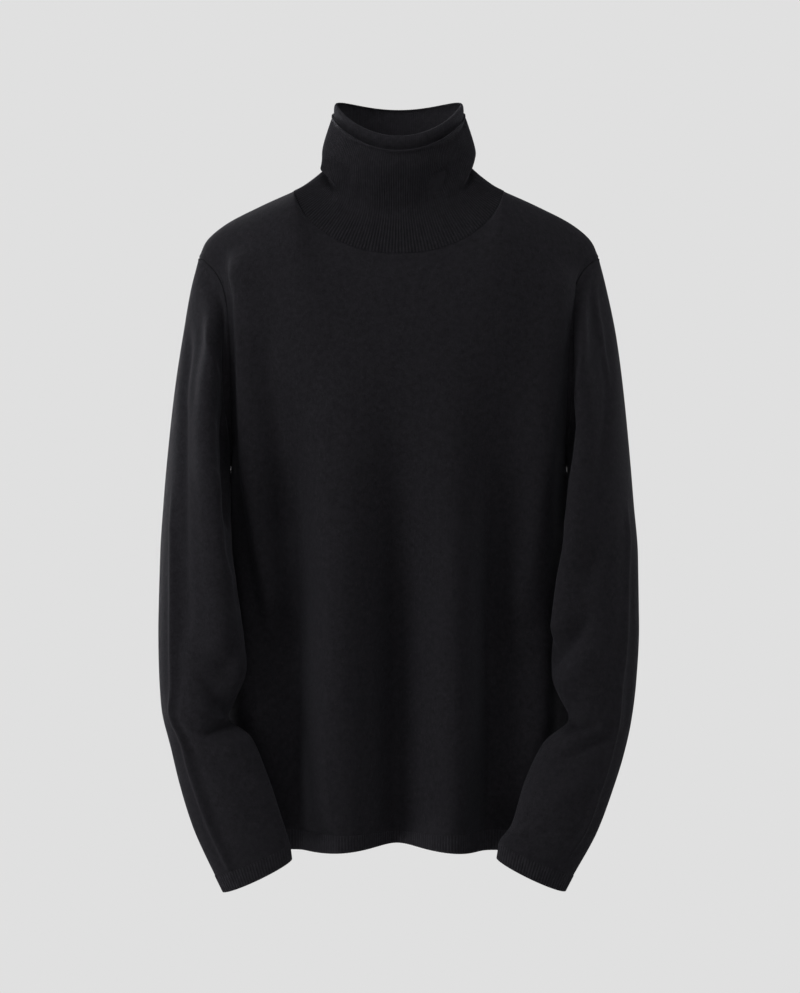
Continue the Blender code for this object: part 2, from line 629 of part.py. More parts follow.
def build_sweater():
    """All ten knitted pieces."""
    grids = {}
    normals = {}
    for name, face in (("front_panel", FRONT), ("back_panel", BACK)):
        grids[name] = panel_grid(face)
        normals[name] = grid_normals(grids[name], False)
    for name in SIDES:
        grids["sleeve_" + name] = sleeve_grid(name)
        normals["sleeve_" + name] = grid_normals(grids["sleeve_" + name], True, SIDES[name])

    y_axis = Vector((0.0, 1.0, 0.0))
    z_axis = Vector((0.0, 0.0, 1.0))
    last = 2 * (NECK_STEPS + SHOULDER_STEPS)
    for name, face in (("front_panel", FRONT), ("back_panel", BACK)):
        rows = normals[name]
        rows[0] = flatten(rows[0], z_axis)
        for c in range(last + 1):
            if c <= SHOULDER_STEPS or c >= last - SHOULDER_STEPS:
                rows[-1][c] = flatten([rows[-1][c]], y_axis)[0]
        for r in range(BODY_STEPS + 1):
            for c in (0, last):
                rows[r][c] = flatten([rows[r][c]], y_axis)[0]

    # Armhole seams: the panel's edge and the sleeve's first ring share their directions, which
    # point straight down at the armpit, where the two turn under.
    for name, side in SIDES.items():
        sleeve = grids["sleeve_" + name]
        ring = normals["sleeve_" + name][0]
        turns = len(ring)
        shared = list(ring)
        for panel, face in (("front_panel", FRONT), ("back_panel", BACK)):
            column = last if side * face < 0 else 0
            for i in range(ARMHOLE_STEPS + 1):
                k = (ARMHOLE_STEPS - i) if face == FRONT else (ARMHOLE_STEPS + i) % turns
                both = normals[panel][BODY_STEPS + i][column] + ring[k]
                if i == ARMHOLE_STEPS:
                    both.y = 0.0
                shared[k] = -z_axis if i == 0 else both.normalized()
                normals[panel][BODY_STEPS + i][column] = shared[k]
        sleeve[0] = draw_back(sleeve[0], sleeve[1], shared, SEAM_CLEARANCE)
        normals["sleeve_" + name][0] = shared
        normals["sleeve_" + name][-1] = flatten(normals["sleeve_" + name][-1], cuff_axis(name))

    # Neckline: the collar's base follows the panels' edges and shares their evened directions.
    places = [("back_panel", SHOULDER_STEPS + NECK_STEPS + i) for i in range(NECK_STEPS)]
    places += [("front_panel", SHOULDER_STEPS + i) for i in range(2 * NECK_STEPS)]
    places += [("back_panel", SHOULDER_STEPS + i) for i in range(NECK_STEPS)]
    base = [grids[panel][-1][c].copy() for panel, c in places]
    evened = [normals[panel][-1][c] for panel, c in places]
    for _ in range(NECK_EVENING):
        evened = [
            (evened[k - 1] + evened[k] * 2.0 + evened[(k + 1) % len(evened)]).normalized()
            for k in range(len(evened))
        ]
    for (panel, c), direction in zip(places, evened):
        normals[panel][-1][c] = direction
    normals["back_panel"][-1][last - SHOULDER_STEPS] = evened[NECK_STEPS]
    normals["front_panel"][-1][last - SHOULDER_STEPS] = evened[3 * NECK_STEPS]
    around = list(zip(base, evened))
    for name, face in (("front_panel", FRONT), ("back_panel", BACK)):
        part_seam(grids[name], face * SEAM_CLEARANCE / 2.0)

    for name in ("front_panel", "back_panel", "sleeve_left", "sleeve_right"):
        wrapped = name.startswith("sleeve")
        make_wall(name, grids[name], inset(grids[name], normals[name], WALL), wrapped)

    ribs_a_step = COLLAR_RIBS_A_STEP * POINTS_A_RIB
    angles = collar_angles(len(around) * ribs_a_step)
    collar = [[collar_point(float(level), angle) for angle in angles] for level in range(6)]
    directions = grid_normals(collar, True)
    for k, (start, direction) in enumerate(around):
        end, end_direction = around[(k + 1) % len(around)]
        for j in range(ribs_a_step):
            t = j / ribs_a_step
            c = k * ribs_a_step + j
            collar[0][c] = start.lerp(end, t)
            directions[0][c] = direction.lerp(end_direction, t).normalized()
    collar[0] = draw_back(collar[0], collar[1], directions[0], SEAM_CLEARANCE)
    make_wall("collar_outer", ribbed(collar, directions),
              every(inset(collar, directions, WALL), ribs_a_step), True)

    lining = lining_grid(len(around))
    make_wall("collar_inner", lining, inset(lining, grid_normals(lining, True), WALL), True)

    for name, face in (("hem_rib_front", FRONT), ("hem_rib_back", BACK)):
        hem = hem_grid(face)
        directions = [flatten(line, z_axis) for line in grid_normals(hem, False)]
        for line in directions:
            for c in (0, -1):
                line[c] = flatten([line[c]], y_axis)[0]
        for line in hem:
            for c in (0, -1):
                line[c].y += face * SEAM_CLEARANCE / 2.0
        plain = every(inset(hem, directions, WALL), HEM_RIBS_A_STEP * POINTS_A_RIB)
        make_wall(name, ribbed(hem, directions), plain, False)

    for name, side in SIDES.items():
        cuff = cuff_grid(name)
        directions = [flatten(line, cuff_axis(name)) for line in grid_normals(cuff, True, side)]
        plain = every(inset(cuff, directions, WALL), CUFF_RIBS_A_STEP * POINTS_A_RIB)
        make_wall("cuff_rib_" + name, ribbed(cuff, directions), plain, True)


for existing in list(bpy.data.objects):
    bpy.data.objects.remove(existing, do_unlink=True)
build_sweater()
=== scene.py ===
"""Charcoal turtleneck sweater: fine jersey body and sleeves, ribbed welts and a layered collar.

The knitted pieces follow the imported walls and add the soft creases, the ribs, the linked seams,
the rolled edges and the nap of the wool. Forms are worked out in millimetres, with the front
towards -Y and +X to the right as seen from the front, and turned into metres in the meshes.
"""

import bisect
import math

import bpy
import numpy as np
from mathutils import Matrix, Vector


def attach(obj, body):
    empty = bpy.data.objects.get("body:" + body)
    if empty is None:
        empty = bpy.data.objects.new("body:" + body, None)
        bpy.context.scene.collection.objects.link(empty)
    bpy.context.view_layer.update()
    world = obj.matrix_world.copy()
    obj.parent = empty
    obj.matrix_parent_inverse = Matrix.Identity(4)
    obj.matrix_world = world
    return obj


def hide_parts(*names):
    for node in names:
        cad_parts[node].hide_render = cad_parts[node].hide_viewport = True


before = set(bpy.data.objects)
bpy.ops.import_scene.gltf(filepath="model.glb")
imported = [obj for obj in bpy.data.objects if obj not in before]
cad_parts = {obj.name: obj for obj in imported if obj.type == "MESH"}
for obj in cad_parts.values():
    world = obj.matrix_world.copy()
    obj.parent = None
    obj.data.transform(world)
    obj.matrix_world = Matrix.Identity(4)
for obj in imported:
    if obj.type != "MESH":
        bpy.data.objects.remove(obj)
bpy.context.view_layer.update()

MILLIMETRE = 0.001
SMALLEST = 1e-9
FRONT = -1
BACK = 1
SIDES = {"left": -1, "right": 1}

# ---------------------------------------------------------------- sizes of the sweater, mm
WALL = 1.9              # thickness of the knit
SEAM_WALL = 0.7         # thickness where two pieces are linked
SEAM_FADE = 6.0         # over which the cloth thins towards a linked seam
TUCK_DEPTH = 0.75       # how deep the seam allowance of one piece lies under its neighbour
TUCK_WALL = 0.5
TUCK_LENGTH = 1.6
LIP = 0.12              # how far the round of an edge stands beyond its seam line
SEAM_FURROW = 0.55      # relief of the cloth beside a linked seam
SEAM_FURROW_WIDTH = 0.9
SEAM_ROLL = 0.35
SEAM_ROLL_PLACE = 2.2
SEAM_ROLL_WIDTH = 1.3
SIDE_DEGREE = 1.95      # mm of cloth a degree beside the side seams
RIB_RELIEF = 0.55
RIB_ROUNDNESS = 0.8
SEAM_RIB_SHARES = (0.4, 0.8)    # how raised the ribs are in the two rows beside a linked seam
DEEPEST_GROOVE_SHADE = 1.5    # how raised ribs are where the painted shade in the grooves between them gets no darker
WELT_SEAM_SHARE = 0.12  # how strong the relief of a seam is beside a rib
ARMHOLE_SEAM_SHARE = 1.6        # and on a sleeve beside its armhole
ARMPIT_FADE = (3.0, 14.0)       # mm from the armpit over which the relief of a seam comes up
SHORT_ROW = (30.0, 38.0)        # and half widths of a panel's rows over which it does so

HEM_EDGE_Z = -654.5
HEM_RIB_HEIGHT = 17.5
HEM_SEAM_Z = HEM_EDGE_Z + HEM_RIB_HEIGHT
ARMPIT_Z = -252.0
ARMPIT_X = 169.0
SHOULDER_TIP_X = 204.0
SHOULDER_TIP_Z = -59.0
SHOULDER_TIP_Y = 4.0
SHOULDER_SQUARENESS = 2.6
ARMHOLE_REACH = {FRONT: 50.0, BACK: 52.0}
ARMHOLE_ROUNDNESS = 0.8
ARMHOLE_FLARE = ((1.0 / 7.0, 2), (6.0 / 7.0, 10))    # shares and powers of its way out to the tip
ARMHOLE_TIP_POWER = 4
SIDE_PULL_POWER = 2.0   # how soon a panel lets go of the armhole's line
SIDE_FADE_POWER = 8     # how late its folds fade out towards the armhole
NECK_ANGLE = 36.0       # degrees round the chest, from the centre line to the side of the neck

# ---------------------------------------------------------------- how finely the cloth is drawn
PANEL_NECK_STEPS = 48
PANEL_SHOULDER_STEPS = 46
PANEL_BODY_ROWS = 88
PANEL_UPPER_ROWS = 72
PANEL_SAMPLES = 240
PANEL_SAMPLE_POWER = 1.5        # samples lie closer together near the shoulder
SLEEVE_COLUMNS = 144
SLEEVE_ROWS = 186
COLLAR_RIBS = 200
HEM_RIBS = 180
CUFF_RIBS = 66
COLLAR_POINTS_A_RIB = 4
COLLAR_COLUMNS = COLLAR_RIBS * COLLAR_POINTS_A_RIB
COLLAR_ANGLES = -180.0 + 360.0 * np.arange(COLLAR_COLUMNS) / COLLAR_COLUMNS
WELT_POINTS_A_RIB = 6
COLLAR_ROWS = 50
COLLAR_ROW_LEVELS = ((0, 0.06), (10, 1.1), (32, 2.5), (49, 4.62))    # close where the collar folds
COLLAR_SEAM_LEVELS = [0.0, 0.015]
LINING_ROWS = 36
WELT_ROWS = 8
WELT_ENDS = (0.0, 0.02, 0.07)   # shares of a welt, for the rows beside its seam and its free edge
EDGE_STEPS = (0.0, 0.25, 0.8, 1.6, 2.8, 4.6)     # mm from an edge, for rows and columns beside it
PROBES = 720            # samples of a line that is divided evenly


class Table:
    """Rows with named columns, read smoothly between rows by the value of the first column."""

    def __init__(self, columns, *rows):
        self.columns = columns.split()[1:]
        self.keys = [row[0] for row in rows]
        self.values = {name: [row[i + 1] for row in rows] for i, name in enumerate(self.columns)}

    def slope(self, values, i):
        if i == 0 or i == len(values) - 1:
            j = max(i, 1)
            return (values[j] - values[j - 1]) / (self.keys[j] - self.keys[j - 1])
        before = (values[i] - values[i - 1]) / (self.keys[i] - self.keys[i - 1])
        after = (values[i + 1] - values[i]) / (self.keys[i + 1] - self.keys[i])
        if before * after <= 0.0:
            return 0.0
        return 2.0 * before * after / (before + after)

    def read(self, name, key):
        values = self.values[name]
        key = min(max(key, self.keys[0]), self.keys[-1])
        i = min(max(bisect.bisect_right(self.keys, key) - 1, 0), len(values) - 2)
        span = self.keys[i + 1] - self.keys[i]
        t = (key - self.keys[i]) / span
        rise = values[i + 1] - values[i]
        start = self.slope(values, i) * span
        end = self.slope(values, i + 1) * span
        bend = 3.0 * rise - 2.0 * start - end
        return values[i] + t * (start + t * (bend + t * (start + end - 2.0 * rise)))

    def row(self, key):
        return [self.read(name, key) for name in self.columns]


BODY = Table(
    "z half_width middle_y front back square",
    (-654.5, 170, 14, 105, 77, 2.4),
    (-520, 174.5, 16, 113, 80, 2.4),
    (-330, 174, 15, 123, 90, 2.4),
    (-252, 169, 0, 112, 109, 2.4),
    (-200, 169, 0, 112, 109, 2.4),
)
SHOULDER = Table(
    "part x y z",
    (0, 107, -8, 7),
    (0.3, 141, -3, -8),
    (0.65, 178, 2, -26.5),
    (0.85, 197, 3.5, -43),
    (1, 204, 4, -59),
)
FOLD_COLUMNS = "angle_above angle_hem spread depth start full lift".split()
FOLDS = [
    dict(zip(FOLD_COLUMNS, row))
    for row in (
        (-18.5, -18.5, 8, 14, -120, -430, 0),
        (19.3, 19.3, 8, 14, -130, -430, 0),
        (49, 50, 9, 8, -110, -380, 0),
        (-62, -64, 9, 4, -100, -300, 0),
        (-38.5, -39.5, 10.5, -34, -120, -470, -3),
        (-0.6, -0.6, 8, -36, -140, -490, 5.5),
        (34.5, 34.5, 11, -34, -120, -470, -3),
        (88, 84, 9, -5, -400, -620, 0),
        (-92, -97, 9, -5, -390, -620, 0),
        (112, 109, 9, 5, -280, -500, 0),
        (-115, -119, 9, 5, -260, -500, 0),
        (134, 130, 9, -15, -200, -520, 2),
        (152, 151, 8.5, 8, -180, -480, 0),
        (171, 170, 8.5, -16, -210, -500, 2.5),
        (-171, -167, 8, 7, -190, -470, 0),
        (-153, -148, 8.5, -17, -170, -500, 1.5),
        (-134, -131, 9, 7, -200, -480, 0),
    )
]
NECK_X = 107.0
NECK_Y = -8.0
NECK_Z = 7.0
NECK_REACH = {FRONT: 74.0, BACK: 74.0}
NECK_MIDDLE_Z = {FRONT: -61.0, BACK: 12.0}
NECK_UPRIGHT = {FRONT: 2.0, BACK: 3.4}
NECK_SQUARE = 2.5
NECK_SWEEP = ((0.75, 2.4), (0.25, 12.0))     # shares and powers of the neckline's rise
NECK_SAMPLES = 240
FOLD_REACH = 4.0        # how far a fold counts, in spreads of the fold
LIFT_REACH = 1.5        # width of the lift it gives the hem, in the same

RING_COLUMNS = "level side_x side_z front_y front_z back_y back_z"
COLLAR_OUTER = Table(
    RING_COLUMNS,
    (1, 82, 22, -71, -29, 60.5, 33),
    (2, 73.2, 34, -67, -5, 60, 47),
    (3, 77.3, 50, -72, 24, 65, 67),
    (4, 69.4, 78.5, -69.6, 38, 66, 86),
    (5, 66.8, 84, -70, 41, 67.9, 91),
)
COLLAR_INNER = Table(
    RING_COLUMNS,
    (3, 65.6, 66, -64, 32, 61, 78),
    (4, 66, 92, -64.8, 52, 66, 96),
    (5, 64.4, 98, -62.6, 57.5, 65, 101.5),
)
# Levels of the outer layer that the foot of the inner one follows, and how clear it is there.
LINING_LEVELS = ((0.12, 0.4), (1.0, 0.9), (2.0, 1.6))
LINING_PROBE = 0.1      # levels between the two rows that show which way is out
LINING_RIBS_RAISED = 0.4
LINING_RIBS_SUNK = 0.8

SLEEVE_TABLE = "station outer_x outer_z inner_x inner_z middle_y half_depth lead"
CUFF_STATION = 13.0
WRIST_STATION = 14.0
SLEEVES = {
    "left": Table(
        SLEEVE_TABLE,
        (0, 204, -59, 169, -252, 0, 50, 0),
        (1, 212.5, -92, 170.5, -263, -1, 56, 8),
        (2, 220.5, -138, 170.5, -275, -7, 58, 26),
        (3, 228, -190, 169.5, -292, -16, 58, 38),
        (4, 233.5, -245, 168.5, -318, -28, 56, 42),
        (5, 238, -304, 167, -352, -38, 54, 40),
        (6, 241, -364, 164.5, -392, -44, 50, 30),
        (7, 241.5, -428, 158.5, -440, -56, 44, 24),
        (8, 240, -481, 156, -480, -62, 40, 18),
        (9, 235, -524, 168.5, -521, -64, 36, 14),
        (10, 227, -554, 147, -541, -72, 33, 10),
        (11, 217, -590, 131, -575, -84, 30, 8),
        (12, 203.5, -630, 117, -615, -92, 26, 6),
        (13, 181.5, -676, 107.5, -645, -98, 22.5, 4),
        (14, 173.5, -692, 105.5, -660, -99, 21.5, 4),
    ),
    "right": Table(
        SLEEVE_TABLE,
        (0, 204, -59, 169, -252, 0, 50, 0),
        (1, 212, -90, 170.5, -263, -1, 56, 8),
        (2, 222, -138, 170.5, -275, -7, 58, 26),
        (3, 228.5, -190, 169.5, -292, -17, 58, 38),
        (4, 233.5, -248, 167.5, -318, -30, 56, 42),
        (5, 237.5, -307, 165.5, -352, -42, 53, 40),
        (6, 241, -364, 159.5, -388, -50, 49, 28),
        (7, 241, -428, 154.5, -435, -60, 44, 22),
        (8, 237.5, -486, 151, -477, -68, 40, 18),
        (9, 232, -527, 168, -521, -70, 36, 14),
        (10, 224, -558, 143, -547, -80, 33, 10),
        (11, 211.5, -594, 124.5, -583, -92, 30, 8),
        (12, 195.5, -634, 110.5, -626, -100, 26, 6),
        (13, 172, -675, 99, -642, -106, 22.5, 4),
        (14, 164, -690, 96.5, -658, -107, 21.5, 4),
    ),
}
WRIST_DIP = 3.0
SLEEVE_SETTLE = 3.0

# ---------------------------------------------------------------- soft creases
# Each has a depth (a plus depth is a ridge), its half width left and right of its run, how much
# of it is there at its start and at its end, and its path, in mm. Paths are x, z on a panel,
# distance from the side seam, z beside it, station, turn on a sleeve, level, angle on the collar.
CREASE_COLUMNS = "depth left right at_start at_end path".split()
CREASE_FADE = 0.35      # share of a crease's length over which it comes up at an end
CREASE_FADE_LENGTH = 36.0
CLEAR_OF_SIDE = 9.0     # creases of a panel come up over these distances from its edges
CLEAR_OF_HEM = 6.0
CLEAR_OF_NECK = 12.0
CLEAR_OF_ARMHOLE = 20.0
CLEAR_OF_CUFF = 5.0
PANEL_CREASES = {
    FRONT: (
        (12, 19, 7, 0, 0.3, ((-168, -48), (-156, -102), (-153, -163), (-151, -224), (-148, -286),
            (-141, -346), (-132, -400), (-126, -440))),
        (-6, 13, 13, 0, 0, ((-138, -130), (-130, -195), (-120, -255), (-112, -310), (-108, -360))),
        (9, 16, 19, 0.2, 0.3, ((168, -64), (159, -110), (152, -165), (147, -226), (141, -290), (132, -350),
            (124, -410), (120, -440))),
        (3.2, 10, 24, 0, 0.6, ((-74, -200), (-73, -320), (-72, -480), (-70, -660))),
    ),
    BACK: (
        (6, 20, 8, 0.1, 0, ((-168, -66), (-160, -110), (-153, -170), (-150, -240), (-140, -330))),
        (6, 8, 20, 0.1, 0, ((168, -66), (160, -110), (152, -170), (148, -240), (142, -320))),
        (-1.6, 14, 14, 0, 0, ((-70, -24), (-40, -46), (4, -52))),
        (1.8, 16, 16, 0, 0, ((72, -52), (30, -74), (-14, -78))),
        (2, 9, 7, 0, 1, ((-92, -420), (-80, -640))),
        (-2, 8, 8, 0, 1, ((36, -400), (44, -640))),
    ),
}
SIDE_CREASES = {
    FRONT: (
        (1.1, 10, 10, 0.6, 0, ((27, -264), (26, -290), (23, -330))),
        (-3, 12, 12, 0.2, 0.2, ((50, -370), (54, -410), (56, -455))),
        (16.5, 28, 28, 0, 0, ((8, -448), (8, -500), (8, -560), (8, -640))),
    ),
    BACK: (
        (2, 7, 7, 1, 0, ((8, -250), (8, -290), (8, -320))),
        (1, 9, 9, 0, 0, ((26, -270), (20, -330))),
        (16.5, 28, 28, 0, 0, ((-8, -448), (-8, -500), (-8, -560), (-8, -640))),
    ),
}
SLEEVE_CREASES = {
    "left": (
        (16, 13, 13, 0.1, 0, ((0.8, 44), (1.3, 77), (2.4, 97), (3.55, 107), (4.3, 112))),
        (14, 11, 16, 0, 0, ((3.4, 110), (4.65, 121), (5.7, 125), (6.7, 126), (7.8, 122))),
        (7, 26, 10, 0.2, 0.2, ((5.2, 134), (6.4, 146), (7.4, 150), (8.5, 147))),
        (6, 22, 22, 0.2, 0.2, ((8.8, 24), (8.8, 80), (8.8, 136))),
        (-8, 9, 9, 0, 0, ((0.7, 112), (1.3, 132), (2.3, 150), (3.5, 158), (4.8, 162))),
        (-4.5, 8, 9, 0, 0, ((1.5, 18), (2.25, 40), (3.2, 58), (4.35, 68), (5.45, 74), (6.55, 76),
            (7.65, 72))),
        (-7.5, 11, 13, 0.2, 0.2, ((0.45, 36), (0.45, 92), (0.45, 140))),
        (2.8, 4.2, 3.2, 0.1, 0.8, ((4.6, 46), (5.7, 52), (6.55, 53), (8.05, 51), (9, 54), (10.4, 50),
            (12, 54), (13.2, 57))),
        (-2.2, 8, 6, 0, 0.2, ((5.2, 62), (6.6, 64), (8, 62), (10.2, 62), (12.6, 68))),
        (3.6, 14, 12, 0.2, 0, ((7.2, 158), (8, 142), (8.8, 122))),
        (-5, 6, 10, 0.2, 0, ((8.95, 172), (8.55, 124), (7.9, 84))),
        (-5, 8, 7, 0.2, 0, ((9.15, 172), (9.35, 120), (9.6, 82))),
        (2.6, 8, 8, 0.2, 0, ((9.05, 166), (9, 116), (8.75, 78))),
        (-3.4, 10, 12, 0.2, 0.1, ((10.1, 62), (10.7, 106), (11.2, 156))),
        (2.4, 14, 10, 0.2, 0, ((9.9, 160), (10.2, 126), (10.1, 92))),
        (-2, 10, 10, 0.2, 0, ((12.4, 150), (11.7, 92))),
        (-4.4, 9, 7, 0.2, 0, ((8.95, 190), (8.6, 232), (8, 270))),
        (-4.8, 7, 9, 0.2, 0, ((9.15, 190), (9.4, 236), (9.8, 276))),
        (2.4, 8, 8, 0.2, 0, ((9.05, 196), (8.95, 244), (9.1, 280))),
        (-3, 10, 10, 0.2, 0, ((9.5, 206), (10.5, 232), (11.2, 262))),
        (4.5, 9, 15, 0.1, 0, ((0.9, 340), (1.7, 318), (2.8, 282), (4.4, 262), (6.6, 250))),
        (-5, 12, 12, 0.2, 0.2, ((0.55, 316), (0.5, 268), (0.45, 220))),
        (2.2, 5, 5, 0, 0.8, ((6.5, 316), (8.5, 312), (10.5, 306), (13, 300))),
    ),
    "right": (
        (14, 11, 14, 0.3, 0, ((0.45, 44), (0.9, 72), (1.4, 94), (2.4, 112), (3.55, 128), (4.6, 137),
            (5.7, 141), (6.7, 145), (7.6, 151))),
        (-7, 8, 8, 0.1, 0.1, ((0.4, 50), (0.4, 96), (0.4, 144))),
        (-6, 8, 8, 0, 0, ((0.7, 112), (1.3, 134), (2.3, 152), (3.5, 162), (4.8, 166))),
        (2.6, 4, 4, 0.2, 0, ((0.5, 22), (1.2, 36), (2, 48), (2.8, 58))),
        (-3.2, 12, 12, 0.1, 0, ((1.5, 28), (2.05, 48), (2.95, 76), (4.05, 92), (5.3, 98), (6.5, 104))),
        (2.6, 4, 3.2, 0.1, 0.1, ((4.8, 42), (6.3, 48), (7.6, 51), (8.95, 60), (10.25, 50), (11.65, 48),
            (12.8, 54))),
        (-1.8, 7, 7, 0, 0, ((5.6, 36), (7.6, 38), (9.6, 40))),
        (-5.6, 10, 11, 0.3, 0, ((7.95, 176), (7.2, 126), (6.5, 94))),
        (4, 12, 12, 0.3, 0, ((8.6, 166), (7.95, 124), (7.2, 88))),
        (-5, 7, 7, 0.2, 0, ((9.1, 172), (9.2, 120), (9, 86))),
        (2.4, 9, 9, 0.2, 0, ((9.6, 168), (9.7, 124), (9.3, 84))),
        (-4.2, 10, 10, 0.2, 0.1, ((10.6, 132), (10.1, 100), (9.6, 78), (9.1, 54))),
        (2, 12, 12, 0, 0, ((11.6, 120), (11, 84), (10.4, 60))),
        (-2, 10, 10, 0, 0, ((12.4, 130), (11.9, 84))),
        (-4.6, 9, 7, 0.2, 0, ((8.95, 190), (8.5, 232), (7.9, 266))),
        (-4.6, 7, 9, 0.2, 0, ((9.15, 190), (9.5, 236), (9.9, 270))),
        (2.4, 8, 8, 0.2, 0, ((9.05, 196), (9.05, 244), (9.3, 278))),
        (-3, 10, 10, 0.2, 0, ((9.5, 206), (10.4, 232), (11, 258))),
        (4.5, 9, 15, 0.1, 0, ((0.9, 338), (1.7, 316), (2.8, 284), (4.4, 264), (6.4, 254))),
        (-5, 12, 12, 0.2, 0.2, ((0.55, 316), (0.5, 268), (0.45, 220))),
        (2.2, 5, 5, 0, 0.8, ((6.5, 314), (8.5, 310), (10.5, 306), (13, 302))),
    ),
}
STATION_LENGTH = 50.0   # mm of sleeve from station to station, for the creases
TURN_LENGTH = 0.74      # mm of sleeve a degree of turn

COLLAR_CREASES = (
    (7.5, 6, 11, 0.5, 0.2, ((2.05, -94), (2.2, -76), (2.12, -64), (1.92, -54.5), (1.6, -49.5),
        (1.35, -50))),
    (-4, 9, 5, 0.5, 0, ((1.75, -100), (1.78, -80), (1.64, -68), (1.4, -61), (1.05, -60))),
    (-1.8, 10, 10, 0, 0, ((3, -66), (2.6, -46), (2.45, -30))),
    (3.5, 13, 13, 0, 0, ((2.6, -44), (2.15, -26), (1.75, -8))),
    (-8.5, 25, 11, 0.4, 0, ((3.7, 74), (3, 56), (2.4, 36), (2, 12))),
    (3.2, 10, 12, 0.3, 0, ((2.6, 88), (2.1, 60), (1.75, 32))),
    (3.2, 9, 9, 0, 0, ((4.6, 26), (4.6, 50), (4.6, 80))),
    (2, 9, 9, 0, 0, ((4.6, -80), (4.6, -52), (4.6, -30))),
    (-3.2, 7, 8, 0.6, 0, ((2, 98), (1.6, 74), (1.25, 50))),
    (-1.4, 9, 9, 0, 0, ((1.5, -20), (1.45, 6), (1.5, 34))),
    (3.2, 12, 4, 0.5, 0, ((2.4, 122), (2, 142), (1.6, 158))),
    (-3, 6, 6, 0.4, 0, ((2, 120), (1.6, 140), (1.3, 156))),
    (-3, 12, 12, 0.3, 0, ((3.4, -118), (2.8, -142), (2.4, -166))),
    (2.4, 10, 10, 0, 0, ((2.3, -126), (1.9, -150))),
)
LEVEL_LENGTH = 24.0     # mm of collar from level to level, for the creases
COLLAR_ARC = 1.28       # mm of collar a degree

# Rolled edges of the collar, as steps out and up from the last row, mm.
CURL = ((0.25, 0.45), (0.6, 0.75), (0.95, 0.7))
ROLL = ((-0.5, 1.2), (-1.5, 2.2), (-2.8, 2.4), (-4.0, 1.6), (-4.5, 0.2), (-4.2, -1.4))
# How raised the ribs of the outer layer are, by level.
RIB_LEVELS = ((0.0, 1.9), (0.7, 1.7), (1.2, 1.2), (2.2, 1.3), (3.4, 1.2), (4.62, 0.7))
OUTER_TOP = 4.62        # where each layer ends, before its rolled edge, in its own control rows
INNER_TOP = 4.5
ROLL_AT_BACK = 0.3      # how much of the roll is left at the back
ROLL_FADE = (60.0, 110.0)       # degrees from the front over which it goes


def eased(share):
    """A share from 0 to 1, with soft ends."""
    return share * share * (3.0 - 2.0 * share)


def smooth_step(start, end, value):
    """0 at start, 1 at end, with soft ends; for numbers and arrays."""
    return eased(np.clip((value - start) / (end - start), 0.0, 1.0))


def sine_and_cosine(degrees):
    angle = math.radians(degrees)
    return math.sin(angle), math.cos(angle)


def hump(value, middle, width):
    """A soft hump, 1 high, round a middle."""
    return np.exp(-(((value - middle) / width) ** 2))


def unit(vectors):
    """Directions of an array of vectors."""
    return vectors / np.maximum(np.linalg.norm(vectors, axis=-1, keepdims=True), SMALLEST)


def run_lengths(points, axis=0):
    """Distance of each point from the first one along its row or column."""
    steps = np.linalg.norm(np.diff(points, axis=axis), axis=-1)
    return np.insert(np.cumsum(steps, axis=axis), 0, 0.0, axis=axis)


# ---------------------------------------------------------------- form of the body
def fold_depth(angle, z):
    depth = 0.0
    drop = float(smooth_step(ARMPIT_Z, HEM_EDGE_Z, z))
    for fold in FOLDS:
        centre = fold["angle_above"] + (fold["angle_hem"] - fold["angle_above"]) * drop
        away = (angle - centre + 180.0) % 360.0 - 180.0
        if abs(away) < FOLD_REACH * fold["spread"]:
            grown = min(max((z - fold["start"]) / (fold["full"] - fold["start"]), 0.0), 1.0)
            depth += fold["depth"] * eased(grown) * math.exp(-((away / fold["spread"]) ** 2))
    return depth


def hem_lift(angle):
    lift = 0.0
    for fold in FOLDS:
        away = (angle - fold["angle_hem"] + 180.0) % 360.0 - 180.0
        lift += fold["lift"] * math.exp(-((away / (LIFT_REACH * fold["spread"])) ** 2))
    return lift


def body_section(face, across, z):
    """Point of the plain section and its outward direction; across is -90 to 90 degrees."""
    half_width, middle_y, front, back, square = BODY.row(z)
    reach = front if face == FRONT else back
    sine, cosine = sine_and_cosine(across)
    cosine = max(cosine, 0.0)
    size = (abs(sine) ** square + cosine ** square) ** (1.0 / square)
    point = Vector((half_width * sine / size, middle_y + face * reach * cosine / size, z))
    outward = Vector((
        math.copysign(abs(sine) ** (square - 1.0), sine) / half_width,
        face * cosine ** (square - 1.0) / reach,
        0.0,
    ))
    return point, outward.normalized()


def body_angle(face, across):
    return across if face == FRONT else 180.0 - across


def body_point(face, across, z):
    point, outward = body_section(face, across, z)
    return point + outward * fold_depth(body_angle(face, across), z)


def armhole_point(side, face, part):
    """Point of the armhole's edge, from the armpit (0) to the shoulder tip (1)."""
    rise = math.sin(math.pi * part / 2.0) ** 2
    flare = SHOULDER_TIP_X - ARMPIT_X
    x = ARMPIT_X + flare * sum(share * rise ** power for share, power in ARMHOLE_FLARE)
    bow = max(math.sin(math.pi * part), 0.0) ** ARMHOLE_ROUNDNESS
    y = face * ARMHOLE_REACH[face] * bow + SHOULDER_TIP_Y * rise ** ARMHOLE_TIP_POWER
    return Vector((side * x, y, ARMPIT_Z + (SHOULDER_TIP_Z - ARMPIT_Z) * rise))


def ring_point(table, level, angle):
    """Point of a collar ring; angle is 0 at the front centre and 90 degrees at +X."""
    side_x, side_z, front_y, front_z, back_y, back_z = table.row(level)
    sine, cosine = sine_and_cosine(angle)
    y = (back_y + front_y) / 2.0 - (back_y - front_y) / 2.0 * cosine
    ends = (front_z + back_z) / 2.0
    z = ends * cosine ** 2 + side_z * sine ** 2 + (front_z - back_z) / 2.0 * cosine
    return Vector((side_x * sine, y, z))


